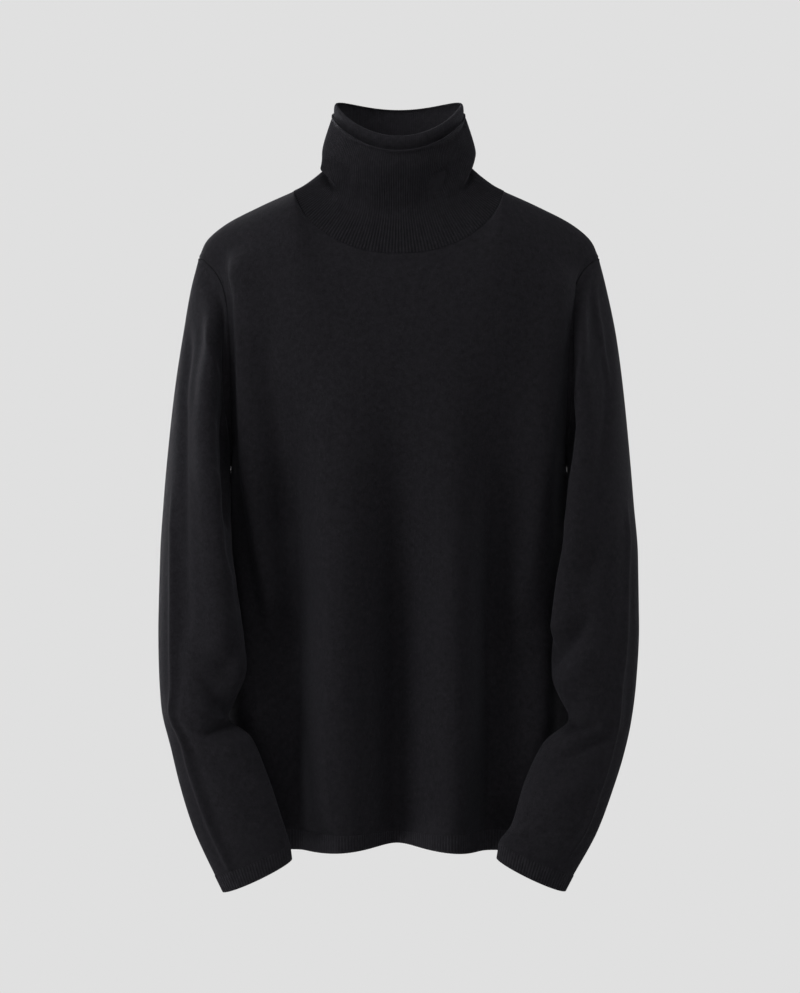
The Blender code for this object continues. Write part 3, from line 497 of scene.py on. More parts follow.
def neckline_samples(face):
    """Neckline from the middle to the +X side, as points and their distance from the middle."""
    points = []
    for i in range(NECK_SAMPLES + 1):
        angle = math.pi / 2.0 * i / NECK_SAMPLES
        size = (math.sin(angle) ** NECK_SQUARE + math.cos(angle) ** NECK_SQUARE) ** (1.0 / NECK_SQUARE)
        x = NECK_X * math.sin(angle) / size
        y = NECK_Y + face * NECK_REACH[face] * math.cos(angle) / size
        rise = sum(share * (x / NECK_X) ** power for share, power in NECK_SWEEP)
        points.append(Vector((x, y, NECK_MIDDLE_Z[face] + (NECK_Z - NECK_MIDDLE_Z[face]) * rise)))
    lengths = [0.0]
    for a, b in zip(points, points[1:]):
        lengths.append(lengths[-1] + (b - a).length)
    return points, lengths


NECKLINE = {face: neckline_samples(face) for face in (FRONT, BACK)}


def neckline_point(face, share):
    points, lengths = NECKLINE[face]
    want = min(abs(share), 1.0) * lengths[-1]
    i = min(max(bisect.bisect_right(lengths, want) - 1, 0), len(points) - 2)
    point = points[i].lerp(points[i + 1], (want - lengths[i]) / (lengths[i + 1] - lengths[i]))
    point.x = math.copysign(point.x, share)
    return point


def shoulder_point(across):
    x, y, z = SHOULDER.row((abs(across) - NECK_ANGLE) / (90.0 - NECK_ANGLE))
    return Vector((math.copysign(x, across), y, z))


def climb(foot, summit, rise, squareness):
    """Point of a rounded climb from a foot to a summit, and how much of the way out is left."""
    left = max(1.0 - rise ** squareness, 0.0) ** (1.0 / squareness)
    point = summit + (foot - summit) * left
    point.z = foot.z + (summit.z - foot.z) * rise
    return point, left


def upper_point(face, across, part):
    """Point of a panel between the armpit's height (0) and the neckline or shoulder seam (1)."""
    rise = math.sin(math.pi * part / 2.0) ** 2
    side = math.copysign(1.0, across)
    foot, outward = body_section(face, across, ARMPIT_Z)
    share = abs(across) / NECK_ANGLE
    if share < 1.0:
        blend = float(smooth_step(0.0, 1.0, share))
        squareness = NECK_UPRIGHT[face] * (1.0 - blend) + SHOULDER_SQUARENESS * blend
        end = neckline_point(face, side * share)
        left = (end.y - NECK_Y) / (foot.y - NECK_Y)
        reached = (1.0 - left ** squareness) ** (1.0 / squareness)
        summit = (end - foot * left) / (1.0 - left)
        summit.z = foot.z + (end.z - foot.z) / reached
        point, left = climb(foot, summit, rise * reached, squareness)
    else:
        point, left = climb(foot, shoulder_point(across), rise, SHOULDER_SQUARENESS)
    edge_foot, _ = body_section(face, side * 90.0, ARMPIT_Z)
    edge, _ = climb(edge_foot, shoulder_point(side * 90.0), rise, SHOULDER_SQUARENESS)
    pull = (abs(across) / 90.0) ** (SIDE_PULL_POWER + 1.0 / max(part, 0.001))
    point += (armhole_point(side, face, part) - edge) * pull
    fading = left * (1.0 - (abs(across) / 90.0) ** SIDE_FADE_POWER)
    return point + outward * fold_depth(body_angle(face, across), point.z) * fading


# ---------------------------------------------------------------- form of the sleeves
def sleeve_ring(name, at):
    """Sizes of the sleeve's ring at a station."""
    outer_x, outer_z, inner_x, inner_z, middle_y, half_depth, lead = SLEEVES[name].row(at)
    across = Vector(((outer_x - inner_x) / 2.0, 0.0, (outer_z - inner_z) / 2.0))
    middle = Vector(((outer_x + inner_x) / 2.0, middle_y, (outer_z + inner_z) / 2.0))
    dip = WRIST_DIP * float(smooth_step(CUFF_STATION - 1.0, WRIST_STATION, at))
    return middle, across, half_depth, lead, dip


def sleeve_point(name, station, turn, ring):
    """Point of a sleeve; turn is 0 on the outer edge, 90 degrees in front, 180 at the body."""
    sine, cosine = sine_and_cosine(turn)

    def on(ring):
        middle, across, half_depth, lead, dip = ring
        off = Vector((0.0, lead / 2.0 * cosine - half_depth * sine, -dip * sine))
        return middle + across * cosine + off

    point = on(ring)
    fade = 1.0 - float(smooth_step(0.0, SLEEVE_SETTLE, station))
    if fade > 0.0:
        face = FRONT if sine >= 0.0 else BACK
        part = 1.0 - turn / 180.0 if sine >= 0.0 else turn / 180.0 - 1.0
        point += (armhole_point(1.0, face, part) - on(sleeve_ring(name, 0.0))) * fade
    return (SIDES[name] * point.x, point.y, point.z)


# ---------------------------------------------------------------- creases, ribs and walls
def creases(rows, first, second, scale_first, scale_second):
    """Depth of a set of creases over a grid of two surface coordinates."""
    first = first * scale_first
    second = second * scale_second
    depth = np.zeros(np.broadcast(first, second).shape)
    for row in rows:
        crease = dict(zip(CREASE_COLUMNS, row))
        path = np.array(crease["path"]) * (scale_first, scale_second)
        runs = np.diff(path, axis=0)
        lengths = np.hypot(runs[:, 0], runs[:, 1])
        starts = np.concatenate([[0.0], np.cumsum(lengths)])
        nearest = np.full(depth.shape, np.inf)
        share = np.zeros(depth.shape)
        width = np.zeros(depth.shape)
        for start, run, length, before in zip(path, runs, lengths, starts):
            from_first = first - start[0]
            from_second = second - start[1]
            along = np.clip((from_first * run[0] + from_second * run[1]) / length ** 2, 0.0, 1.0)
            off_first = from_first - along * run[0]
            off_second = from_second - along * run[1]
            away = np.hypot(off_first, off_second)
            closer = away < nearest
            nearest = np.where(closer, away, nearest)
            share = np.where(closer, (before + along * length) / starts[-1], share)
            on_left = run[0] * off_second > run[1] * off_first
            width = np.where(closer, np.where(on_left, crease["left"], crease["right"]), width)
        fade = min(CREASE_FADE, CREASE_FADE_LENGTH / starts[-1])
        rise = crease["at_start"] + (1.0 - crease["at_start"]) * smooth_step(0.0, fade, share)
        fall = crease["at_end"] + (1.0 - crease["at_end"]) * smooth_step(0.0, fade, 1.0 - share)
        depth += crease["depth"] * rise * fall * hump(nearest, 0.0, width)
    return depth


def grid_normals(grid, wrapped, flip=1.0):
    """Outward directions of a grid of points, rows first."""
    if wrapped:
        along = np.roll(grid, -1, 1) - np.roll(grid, 1, 1)
    else:
        along = np.gradient(grid, axis=1)
    up = np.gradient(grid, axis=0)
    return unit(np.cross(along, up) * flip)


def ribs(columns, points_a_rib, relief):
    """Heights of round ribs over a row of columns."""
    phase = 2.0 * np.pi * np.arange(columns) / points_a_rib
    return relief * (0.5 - 0.5 * np.cos(phase)) ** RIB_ROUNDNESS


def seam_relief(from_seam):
    """Puckered cloth beside a linked seam: a fine furrow at it and a low roll next to it."""
    roll = SEAM_ROLL * hump(from_seam, SEAM_ROLL_PLACE, SEAM_ROLL_WIDTH)
    return roll - SEAM_FURROW * hump(from_seam, 0.0, SEAM_FURROW_WIDTH)


def spread(length, steps):
    """Distances from 0 to a length, close at both ends and even between."""
    near = list(EDGE_STEPS)
    even = np.linspace(near[-1], length - near[-1], steps + 1)[1:-1]
    return np.array(near + list(even) + [length - step for step in reversed(near)])


def spline_rows(controls, positions):
    """Smooth rows between control rows; positions count in control rows."""
    count = len(controls)
    rows = []
    for position in positions:
        i = min(int(position), count - 2)
        t = position - i
        b, c = controls[i], controls[i + 1]
        a = controls[i - 1] if i > 0 else 2.0 * b - c
        d = controls[i + 2] if i + 2 < count else 2.0 * c - b
        bend = 2.0 * a - 5.0 * b + 4.0 * c - d
        twist = 3.0 * b - a - 3.0 * c + d
        rows.append(0.5 * (2.0 * b + (c - a) * t + bend * t ** 2 + twist * t ** 3))
    return np.array(rows)


def lengths_along(grid, axis):
    """Mean distance of each row or column from the first one."""
    steps = np.linalg.norm(np.diff(grid, axis=axis), axis=2)
    return np.concatenate([[0.0], np.cumsum(steps.mean(axis=1 - axis))])


def from_sides(grid):
    """Distance of each point of a grid from the nearer end of its row."""
    from_start = run_lengths(grid, axis=1)
    return np.minimum(from_start, from_start[:, -1:] - from_start)


def wall_thickness(outer, wrapped, thin_edges):
    """The cloth's thickness over a grid: full, and thin towards the linked edges named."""
    down = lengths_along(outer, 0)
    thin = np.ones(outer.shape[:2])
    if "low" in thin_edges:
        thin = np.minimum(thin, smooth_step(0.0, SEAM_FADE, down)[:, None])
    if "high" in thin_edges:
        thin = np.minimum(thin, smooth_step(0.0, SEAM_FADE, down[-1] - down)[:, None])
    if not wrapped:
        thin = np.minimum(thin, smooth_step(0.0, SEAM_FADE, from_sides(outer)))
    return SEAM_WALL + (WALL - SEAM_WALL) * thin


def edge_rows(outer, inner, normals, edge, beyond, tucked):
    """Rows that close an edge between the two faces: a rounded lip, or a tongue of seam
    allowance that lies under the neighbour's edge."""
    towards = unit(outer[beyond] - outer[edge])
    if not tucked:
        return [(outer[edge] + inner[edge]) / 2.0 - towards * LIP]
    direction = normals[edge]
    foot = outer[edge] - direction * TUCK_DEPTH
    tip = foot - towards * TUCK_LENGTH
    return [foot, tip, tip - direction * TUCK_WALL]


def closing_strips(rows, high_rows, count, columns, u, v):
    """Faces that close the two sides of a shell, with their UVs, and the rings at their ends."""
    quads, maps, rings = [], [], []
    for column, order in ((0, 1), (columns - 1, -1)):
        row = np.arange(rows - 1)
        back = rows + high_rows + (rows - 1 - row)
        strip = np.stack([row, row + 1, back - 1, back], axis=1)[:, ::order]
        quads.append(strip * columns + column)
        maps.append(np.stack([np.full(strip.shape, u[column]), v[strip]], axis=-1))
        top = list(range(rows - 1, rows + high_rows + 1))
        bottom = list(range(2 * rows + high_rows - 1, count)) + [0]
        rings += [[k * columns + column for k in ring[::order]] for ring in (top, bottom)]
    return quads, maps, rings


def wound_inwards(vertices, quads):
    """Whether the faces of a closed shell point inwards, from the sign of its volume."""
    a, b, c, d = (vertices[quads[:, k]] for k in range(4))
    return np.einsum("ij,ij->", a, np.cross(b, c) + np.cross(c, d)) < 0.0


def knit_mesh(name, vertices, quads, quad_uvs, rings):
    """Mesh with a "knit" UV map, from four-sided faces and a few rings of points."""
    loops = np.concatenate([quads.ravel()] + [np.array(ring) for ring in rings])
    sizes = np.array([4] * len(quads) + [len(ring) for ring in rings])
    starts = np.concatenate([[0], np.cumsum(sizes)[:-1]])
    uv = np.concatenate([quad_uvs.reshape(-1, 2), np.zeros((len(loops) - quads.size, 2))])
    mesh = bpy.data.meshes.new(name)
    mesh.vertices.add(len(vertices))
    mesh.vertices.foreach_set("co", (vertices * MILLIMETRE).astype(np.float32).ravel())
    mesh.loops.add(len(loops))
    mesh.loops.foreach_set("vertex_index", loops.astype(np.int32))
    mesh.polygons.add(len(sizes))
    mesh.polygons.foreach_set("loop_start", starts.astype(np.int32))
    mesh.polygons.foreach_set("use_smooth", np.ones(len(sizes), bool))
    layer = mesh.uv_layers.new(name="knit")
    layer.data.foreach_set("uv", (uv * MILLIMETRE).astype(np.float32).ravel())
    return mesh


def knit_shell(name, outer, normals, wrapped, thin_edges="", tucked_edges="", inner=None, groove_shade_mask=None):
    """Closed cloth between an outer grid and its inner face, with a UV map in metres: u across
    the wales and v along them. The last argument is a mask of how deep in a groove each outer
    point lies, kept for the painted shade in the grooves."""
    rows, columns = outer.shape[:2]
    if inner is None:
        inner = outer - normals * wall_thickness(outer, wrapped, thin_edges)[:, :, None]
    high = edge_rows(outer, inner, normals, -1, -2, "high" in tucked_edges)
    low = edge_rows(outer, inner, normals, 0, 1, "low" in tucked_edges)
    vertices = np.array(list(outer) + high + list(inner[::-1]) + low[::-1])
    count = len(vertices)
    vertices = vertices.reshape(-1, 3)
    down = lengths_along(outer, 0)
    v = np.array(list(down) + [down[-1]] * len(high) + list(down[::-1]) + [down[0]] * len(low))
    u = lengths_along(outer, 1)
    spans = columns - 1
    if wrapped:
        u = np.append(u, u[-1] + np.linalg.norm(outer[:, 0] - outer[:, -1], axis=1).mean())
        spans = columns

    r = np.repeat(np.arange(count), spans)
    c = np.tile(np.arange(spans), count)
    next_r = (r + 1) % count
    next_c = (c + 1) % columns
    corners = (r * columns + c, r * columns + next_c, next_r * columns + next_c, next_r * columns + c)
    quads = [np.stack(corners, axis=1)]
    maps = [np.stack([u[[c, c + 1, c + 1, c]], v[[r, r, next_r, next_r]]], axis=-1).transpose(1, 0, 2)]
    rings = []
    if not wrapped:
        strips, strip_maps, rings = closing_strips(rows, len(high), count, columns, u, v)
        quads += strips
        maps += strip_maps
    quads = np.concatenate(quads)
    mesh = knit_mesh(name, vertices, quads, np.concatenate(maps), rings)
    # The groove mask is kept on the mesh for the painted shade that the material puts in the grooves.
    if groove_shade_mask is not None:
        shade = np.zeros(len(vertices))
        shade[: rows * columns] = groove_shade_mask.ravel()
        mesh.attributes.new("painted_groove_mask", "FLOAT", "POINT").data.foreach_set("value", shade.astype(np.float32))
    mesh.update(calc_edges=True)
    mesh.validate()
    if wound_inwards(vertices, quads):
        mesh.flip_normals()
    piece = bpy.data.objects.new(name, mesh)
    bpy.context.collection.objects.link(piece)
    return piece


# ---------------------------------------------------------------- the pieces
def panel_columns():
    """Angles across a panel, close together beside the seams at its sides."""
    half = [NECK_ANGLE * i / PANEL_NECK_STEPS for i in range(PANEL_NECK_STEPS)]
    last = 90.0 - EDGE_STEPS[-1] / SIDE_DEGREE
    half += list(np.linspace(NECK_ANGLE, last, PANEL_SHOULDER_STEPS + 1))
    half += [90.0 - step / SIDE_DEGREE for step in reversed(EDGE_STEPS[:-1])]
    return [-angle for angle in reversed(half[1:])] + half


def upper_column(face, across):
    """Points of a column from the armpit's height up, evenly along the cloth."""
    shares = 1.0 - (1.0 - np.linspace(0.0, 1.0, PANEL_SAMPLES + 1)) ** PANEL_SAMPLE_POWER
    line = np.array([upper_point(face, across, share) for share in shares])
    lengths = run_lengths(line)
    wants = spread(lengths[-1], PANEL_UPPER_ROWS)
    wants = np.concatenate([[0.0], wants[len(EDGE_STEPS) - 1:]])
    return np.stack([np.interp(wants, lengths, line[:, k]) for k in range(3)], axis=1)


def from_armpit(grid):
    """Distance of each point of a grid from the armpit on its side."""
    armpit = np.zeros(grid.shape)
    armpit[:, :, 0] = np.sign(grid[:, :, 0]) * ARMPIT_X
    armpit[:, :, 2] = ARMPIT_Z
    return np.linalg.norm(grid - armpit, axis=2)


def make_panel(name, face):
    columns = [-face * angle for angle in panel_columns()]
    heights = HEM_SEAM_Z + spread(ARMPIT_Z - HEM_SEAM_Z, PANEL_BODY_ROWS)[: -len(EDGE_STEPS)]
    below = np.array([[body_point(face, across, z) for across in columns] for z in heights])
    above = np.array([upper_column(face, across) for across in columns]).transpose(1, 0, 2)
    grid = np.concatenate([below, above])
    normals = grid_normals(grid, False)
    from_side = from_sides(grid)
    from_hem = lengths_along(grid, 0)
    from_neck = from_hem[-1] - from_hem
    relief = creases(PANEL_CREASES[face], grid[:, :, 0], grid[:, :, 2], 1.0, 1.0)
    relief *= smooth_step(0.0, CLEAR_OF_SIDE, from_side)
    clear = smooth_step(0.0, CLEAR_OF_HEM, from_hem) * smooth_step(0.0, CLEAR_OF_NECK, from_neck)
    relief *= clear[:, None]
    relief += creases(SIDE_CREASES[face], from_side, grid[:, :, 2], 1.0, 1.0)
    long_rows = smooth_step(*SHORT_ROW, from_side.max(axis=1))[:, None]
    relief += seam_relief(from_side) * long_rows * smooth_step(*ARMPIT_FADE, from_armpit(grid))
    relief += WELT_SEAM_SHARE * (seam_relief(from_hem) + seam_relief(from_neck))[:, None]
    grid = grid + normals * relief[:, :, None]
    return knit_shell(name, grid, grid_normals(grid, False), False, thin_edges="low high")


def make_sleeve(name, label):
    turns = 360.0 * np.arange(SLEEVE_COLUMNS) / SLEEVE_COLUMNS
    stations = spread(CUFF_STATION * STATION_LENGTH, SLEEVE_ROWS) / STATION_LENGTH
    rings = [sleeve_ring(name, station) for station in stations]
    grid = np.array([
        [sleeve_point(name, station, turn, ring) for turn in turns]
        for station, ring in zip(stations, rings)
    ])
    flip = SIDES[name]
    normals = grid_normals(grid, True, flip)
    from_armhole = stations[:, None] * STATION_LENGTH
    from_cuff = from_armhole[-1] - from_armhole
    relief = creases(SLEEVE_CREASES[name], stations[:, None], turns, STATION_LENGTH, TURN_LENGTH)
    relief *= smooth_step(0.0, CLEAR_OF_ARMHOLE, from_armhole) * smooth_step(0.0, CLEAR_OF_CUFF, from_cuff)
    relief += ARMHOLE_SEAM_SHARE * seam_relief(from_armhole) * smooth_step(*ARMPIT_FADE, from_armpit(grid))
    relief += WELT_SEAM_SHARE * seam_relief(from_cuff)
    grid = grid + normals * relief[:, :, None]
    normals = grid_normals(grid, True, flip)
    return knit_shell(label, grid, normals, True, thin_edges="high", tucked_edges="low")


def even_places(line, count, wrapped):
    """Places at even spacing along a line of points, as positions in the list."""
    closed = np.vstack([line, line[:1]]) if wrapped else line
    lengths = run_lengths(closed)
    wants = lengths[-1] * np.arange(count if wrapped else count + 1) / count
    return np.interp(wants, lengths, np.arange(len(closed)))


def welt_rows(first, last):
    """Rows across a welt, with close ones beside its seam and its free edge."""
    seam, second, third = WELT_ENDS
    between = np.linspace(third, 1.0 - third, WELT_ROWS)
    share = np.concatenate([[seam, second], between, [1.0 - second, 1.0 - seam]])[:, None, None]
    return np.array(first)[None] * (1.0 - share) + np.array(last)[None] * share


def make_hem(name, face):
    def angle_at(place):
        return -face * (-90.0 + 180.0 * place / PROBES)

    line = np.array([body_point(face, angle_at(place), HEM_SEAM_Z) for place in range(PROBES + 1)])
    angles = [angle_at(place) for place in even_places(line, HEM_RIBS * WELT_POINTS_A_RIB, False)]
    low = [
        body_point(face, across, HEM_EDGE_Z) + Vector((0.0, 0.0, hem_lift(body_angle(face, across))))
        for across in angles
    ]
    grid = welt_rows(low, [body_point(face, across, HEM_SEAM_Z) for across in angles])
    normals = unit(grid_normals(grid, False) * (1.0, 1.0, 0.0))
    return ribbed_shell(name, grid, normals, False, WELT_POINTS_A_RIB, "high")


def make_cuff(name, label):
    def ring_points(station, turns):
        ring = sleeve_ring(name, station)
        return np.array([sleeve_point(name, station, turn, ring) for turn in turns])

    line = ring_points(CUFF_STATION, 360.0 * np.arange(PROBES) / PROBES)
    turns = even_places(line, CUFF_RIBS * WELT_POINTS_A_RIB, True) * 360.0 / PROBES
    grid = welt_rows(ring_points(CUFF_STATION, turns), ring_points(WRIST_STATION, turns))
    normals = grid_normals(grid, True, SIDES[name])
    return ribbed_shell(label, grid, normals, True, WELT_POINTS_A_RIB, "low")


def ribbed_shell(name, grid, normals, wrapped, points_a_rib, tucked, raised=1.0, sunk=0.0):
    """Cloth with ribs raised on its outer face and sunk into its inner one."""
    relief = ribs(grid.shape[1], points_a_rib, RIB_RELIEF)[None, :, None]
    fade = np.ones(len(grid)) * raised
    if tucked == "high":
        fade[-2:] *= SEAM_RIB_SHARES[::-1]
    if tucked == "low":
        fade[:2] *= SEAM_RIB_SHARES
    fade = fade[:, None, None]
    outer = grid + normals * relief * fade
    inner = grid - normals * (WALL + (RIB_RELIEF - relief) * sunk)
    # How deep each outer point lies in a groove; the material darkens the grooves by it as painted shade.
    groove_shade_mask = ((1.0 - relief / RIB_RELIEF) * np.minimum(fade, DEEPEST_GROOVE_SHADE))[:, :, 0]
    return knit_shell(name, outer, normals, wrapped, tucked_edges=tucked, inner=inner, groove_shade_mask=groove_shade_mask)


def collar_controls(angles):
    """Control rows of the outer layer, from the neckline to its free edge."""
    rows = [[
        neckline_point(FRONT, angle / 90.0) if abs(angle) <= 90.0
        else neckline_point(BACK, math.copysign(180.0 - abs(angle), angle) / 90.0)
        for angle in angles
    ]]
    rows += [[ring_point(COLLAR_OUTER, level, angle) for angle in angles] for level in COLLAR_OUTER.keys]
    return np.array(rows)


def add_roll(grid, normals, profile, amount=1.0):
    """Carry the last row on along a rolled edge, as steps out and up from it."""
    out = unit(normals[-1] * (1.0, 1.0, 0.0))
    rise = np.array([0.0, 0.0, 1.0])
    rolled = [grid[-1] + (out * across + rise * up) * amount for across, up in profile]
    return np.concatenate([grid, np.array(rolled)])


def make_collar_outer(name):
    levels = np.interp(range(COLLAR_ROWS), *zip(*COLLAR_ROW_LEVELS))
    positions = np.append(COLLAR_SEAM_LEVELS, levels)
    grid = spline_rows(collar_controls(COLLAR_ANGLES), positions)
    normals = grid_normals(grid, True)
    folds = creases(COLLAR_CREASES, positions[:, None], COLLAR_ANGLES, LEVEL_LENGTH, COLLAR_ARC)
    grid = add_roll(grid + normals * folds[:, :, None], normals, CURL)
    raised = np.interp(np.append(positions, [OUTER_TOP] * len(CURL)), *zip(*RIB_LEVELS))
    return ribbed_shell(name, grid, grid_normals(grid, True), True, COLLAR_POINTS_A_RIB, "low", raised)


def make_collar_inner(name):
    outer_rows = collar_controls(COLLAR_ANGLES)
    controls = []
    for level, clear in LINING_LEVELS:
        pair = spline_rows(outer_rows, (level, level + LINING_PROBE))
        directions = grid_normals(pair, True)[0]
        controls.append(pair[0] - directions * (WALL + clear))
    for level in COLLAR_INNER.keys:
        controls.append(np.array([ring_point(COLLAR_INNER, level, angle) for angle in COLLAR_ANGLES]))
    grid = spline_rows(np.array(controls), np.linspace(0.0, INNER_TOP, LINING_ROWS + 1))
    amount = 1.0 - (1.0 - ROLL_AT_BACK) * smooth_step(*ROLL_FADE, np.abs(COLLAR_ANGLES))[:, None]
    grid = add_roll(grid, grid_normals(grid, True), ROLL, amount)
    return ribbed_shell(name, grid, grid_normals(grid, True), True, COLLAR_POINTS_A_RIB, "",
                        LINING_RIBS_RAISED, LINING_RIBS_SUNK)


# ---------------------------------------------------------------- the wool
NODE_ROWS = 4
NODE_WIDTH = 220.0
NODE_HEIGHT = 240.0
FULL_TURN = 2.0 * math.pi
STITCH_SLANT = 1.4      # courses a stitch climbs over the width of a wale
LOOP_SHARE = 0.35       # relief of the courses, as a share of that of the wales
NAP_NOISE = (620.0, 4.0)        # scale a metre, and detail
MOTTLE_NOISE = (200.0, 3.0)
FLECK_NOISE = (1.0, 1.0)
FLECKS_A_METRE = (640.0, 210.0, 1.0)
FLECK_START = 0.62      # level of the noise from which a fleck is pale; dark ones mirror it
FLECK_CONTRAST = 7.0
NAP_TONE = 0.6
MOTTLE_TONE = 0.8
TONE_LOWERED = 0.2
PALE_FLECK_TONE = 0.3
DARK_FLECK_TONE = 0.2
KNIT_INPUTS = ("Wale Width", "Course Height", "Stitch Depth", "Nap Depth")
# Width and height of a stitch in metres, depth of the stitches and of the nap.
JERSEY_KNIT = (0.0015, 0.0012, 0.45, 1.1)
WELT_KNIT = (0.00145, 0.0012, 0.35, 0.8)
COLLAR_KNIT = (0.0013, 0.0012, 0.35, 0.8)
# Dark and light tone of the wool; the welt and collar tones are lighter to make up for the painted shade
# in their grooves.
CHARCOAL = ((0.0130, 0.0124, 0.0147, 1.0), (0.0322, 0.0309, 0.0363, 1.0))
WELT_CHARCOAL = ((0.0166, 0.0158, 0.0187, 1.0), (0.0410, 0.0394, 0.0462, 1.0))
COLLAR_CHARCOAL = ((0.0148, 0.0141, 0.0167, 1.0), (0.0366, 0.0352, 0.0412, 1.0))
BLACK = (0.0, 0.0, 0.0, 1.0)
WOOL_SURFACE = {
    "Roughness": 0.88,
    "Specular IOR Level": 0.05,
    "Sheen Roughness": 0.42,
    "Sheen Tint": (0.86, 0.87, 1.0, 1.0),
}
RELIEF = {"Strength": 0.55, "Distance": 0.00035}


def node(tree, kind, **settings):
    """New node, below or to the right of those made before it."""
    column, row = divmod(len(tree.nodes), NODE_ROWS)
    made = tree.nodes.new(kind)
    made.location = (column * NODE_WIDTH, -row * NODE_HEIGHT)
    for key, value in settings.items():
        setattr(made, key, value)
    return made


def set_inputs(made, values):
    for label, value in values.items():
        made.inputs[label].default_value = value


def math_node(tree, operation, first, second=None, clamp=False):
    made = node(tree, "ShaderNodeMath", operation=operation, use_clamp=clamp)
    for socket, value in zip(made.inputs, (first, second)):
        if isinstance(value, (int, float)):
            socket.default_value = value
        elif value is not None:
            tree.links.new(value, socket)
    return made.outputs[0]


def noise(tree, vector, scale, detail):
    made = node(tree, "ShaderNodeTexNoise", noise_dimensions="3D")
    set_inputs(made, {"Scale": scale, "Detail": detail})
    tree.links.new(vector, made.inputs["Vector"])
    return made.outputs["Fac"]


def wool_group():
    """Stitches, nap and flecks of a fine wool knit, from a UV map in metres."""
    group = bpy.data.node_groups.new("wool_knit", "ShaderNodeTree")
    sockets = [("Stitches", "INPUT", "Vector"), ("Fibres", "INPUT", "Vector")]
    sockets += [(label, "INPUT", "Float") for label in KNIT_INPUTS]
    sockets += [("Height", "OUTPUT", "Float"), ("Tone", "OUTPUT", "Float")]
    for label, side, kind in sockets:
        group.interface.new_socket(label, in_out=side, socket_type="NodeSocket" + kind)
    given = node(group, "NodeGroupInput").outputs

    def step(operation, first, second=None, clamp=False):
        return math_node(group, operation, first, second, clamp)

    split = node(group, "ShaderNodeSeparateXYZ")
    group.links.new(given["Stitches"], split.inputs[0])
    wale = step("DIVIDE", split.outputs[0], given["Wale Width"])
    course = step("DIVIDE", split.outputs[1], given["Course Height"])
    # Each stitch is a V: its course climbs to both sides of the wale's middle.
    zigzag = step("PINGPONG", wale, 0.5)
    slanted = step("ADD", course, step("MULTIPLY", zigzag, STITCH_SLANT))
    loops = step("SINE", step("MULTIPLY", slanted, FULL_TURN))
    ridge = step("SINE", step("MULTIPLY", zigzag, FULL_TURN))
    stitch = step("ADD", step("MULTIPLY", loops, LOOP_SHARE), ridge)
    stitch = step("MULTIPLY", stitch, given["Stitch Depth"])

    nap = noise(group, given["Fibres"], *NAP_NOISE)
    mottle = noise(group, given["Fibres"], *MOTTLE_NOISE)
    # Flecks are short hairs of lighter and darker wool that lie along the wales.
    along_wales = node(group, "ShaderNodeMapping")
    set_inputs(along_wales, {"Scale": FLECKS_A_METRE})
    group.links.new(given["Stitches"], along_wales.inputs["Vector"])
    fleck = noise(group, along_wales.outputs[0], *FLECK_NOISE)
    pale = step("MULTIPLY", step("SUBTRACT", fleck, FLECK_START), FLECK_CONTRAST, clamp=True)
    dark = step("MULTIPLY", step("SUBTRACT", 1.0 - FLECK_START, fleck), FLECK_CONTRAST, clamp=True)
    height = step("ADD", stitch, step("MULTIPLY", nap, given["Nap Depth"]))
    height = step("ADD", height, step("MULTIPLY", pale, given["Nap Depth"]))
    tone = step("ADD", step("MULTIPLY", nap, NAP_TONE), step("MULTIPLY", mottle, MOTTLE_TONE))
    tone = step("SUBTRACT", tone, TONE_LOWERED)
    tone = step("ADD", tone, step("MULTIPLY", pale, PALE_FLECK_TONE))
    tone = step("SUBTRACT", tone, step("MULTIPLY", dark, DARK_FLECK_TONE), clamp=True)
    out = node(group, "NodeGroupOutput")
    group.links.new(height, out.inputs["Height"])
    group.links.new(tone, out.inputs["Tone"])
    return group


def wool_material(name, group, stitches, tones, sheen, painted_groove_shade=0.0):
    material = bpy.data.materials.new(name)
    material.use_nodes = True
    tree = material.node_tree
    shader = tree.nodes["Principled BSDF"]
    set_inputs(shader, WOOL_SURFACE)
    set_inputs(shader, {"Sheen Weight": sheen})
    knit = node(tree, "ShaderNodeGroup", node_tree=group)
    set_inputs(knit, dict(zip(KNIT_INPUTS, stitches)))
    across_and_along = node(tree, "ShaderNodeUVMap", uv_map="knit")
    tree.links.new(across_and_along.outputs["UV"], knit.inputs["Stitches"])
    where = node(tree, "ShaderNodeTexCoord")
    tree.links.new(where.outputs["Object"], knit.inputs["Fibres"])
    tint = node(tree, "ShaderNodeMix", data_type="RGBA")
    set_inputs(tint, dict(zip("AB", tones)))
    tree.links.new(knit.outputs["Tone"], tint.inputs["Factor"])
    if painted_groove_shade:
        # Painted shade: the base colour is darkened in the purl grooves between the ribs, where less light
        # reaches.
        painted_groove_mask = node(tree, "ShaderNodeAttribute", attribute_name="painted_groove_mask")
        shade = math_node(tree, "MULTIPLY", painted_groove_mask.outputs["Fac"], painted_groove_shade)
        painted_groove_darkening = node(tree, "ShaderNodeMix", data_type="RGBA", blend_type="MULTIPLY")
        set_inputs(painted_groove_darkening, {"B": BLACK})
        tree.links.new(shade, painted_groove_darkening.inputs["Factor"])
        tree.links.new(tint.outputs["Result"], painted_groove_darkening.inputs["A"])
        tint = painted_groove_darkening
    tree.links.new(tint.outputs["Result"], shader.inputs["Base Color"])
    bump = node(tree, "ShaderNodeBump")
    set_inputs(bump, RELIEF)
    tree.links.new(knit.outputs["Height"], bump.inputs["Height"])
    tree.links.new(bump.outputs["Normal"], shader.inputs["Normal"])
    return material


wool = wool_group()
JERSEY = wool_material("charcoal_jersey", wool, JERSEY_KNIT, CHARCOAL, sheen=0.05)
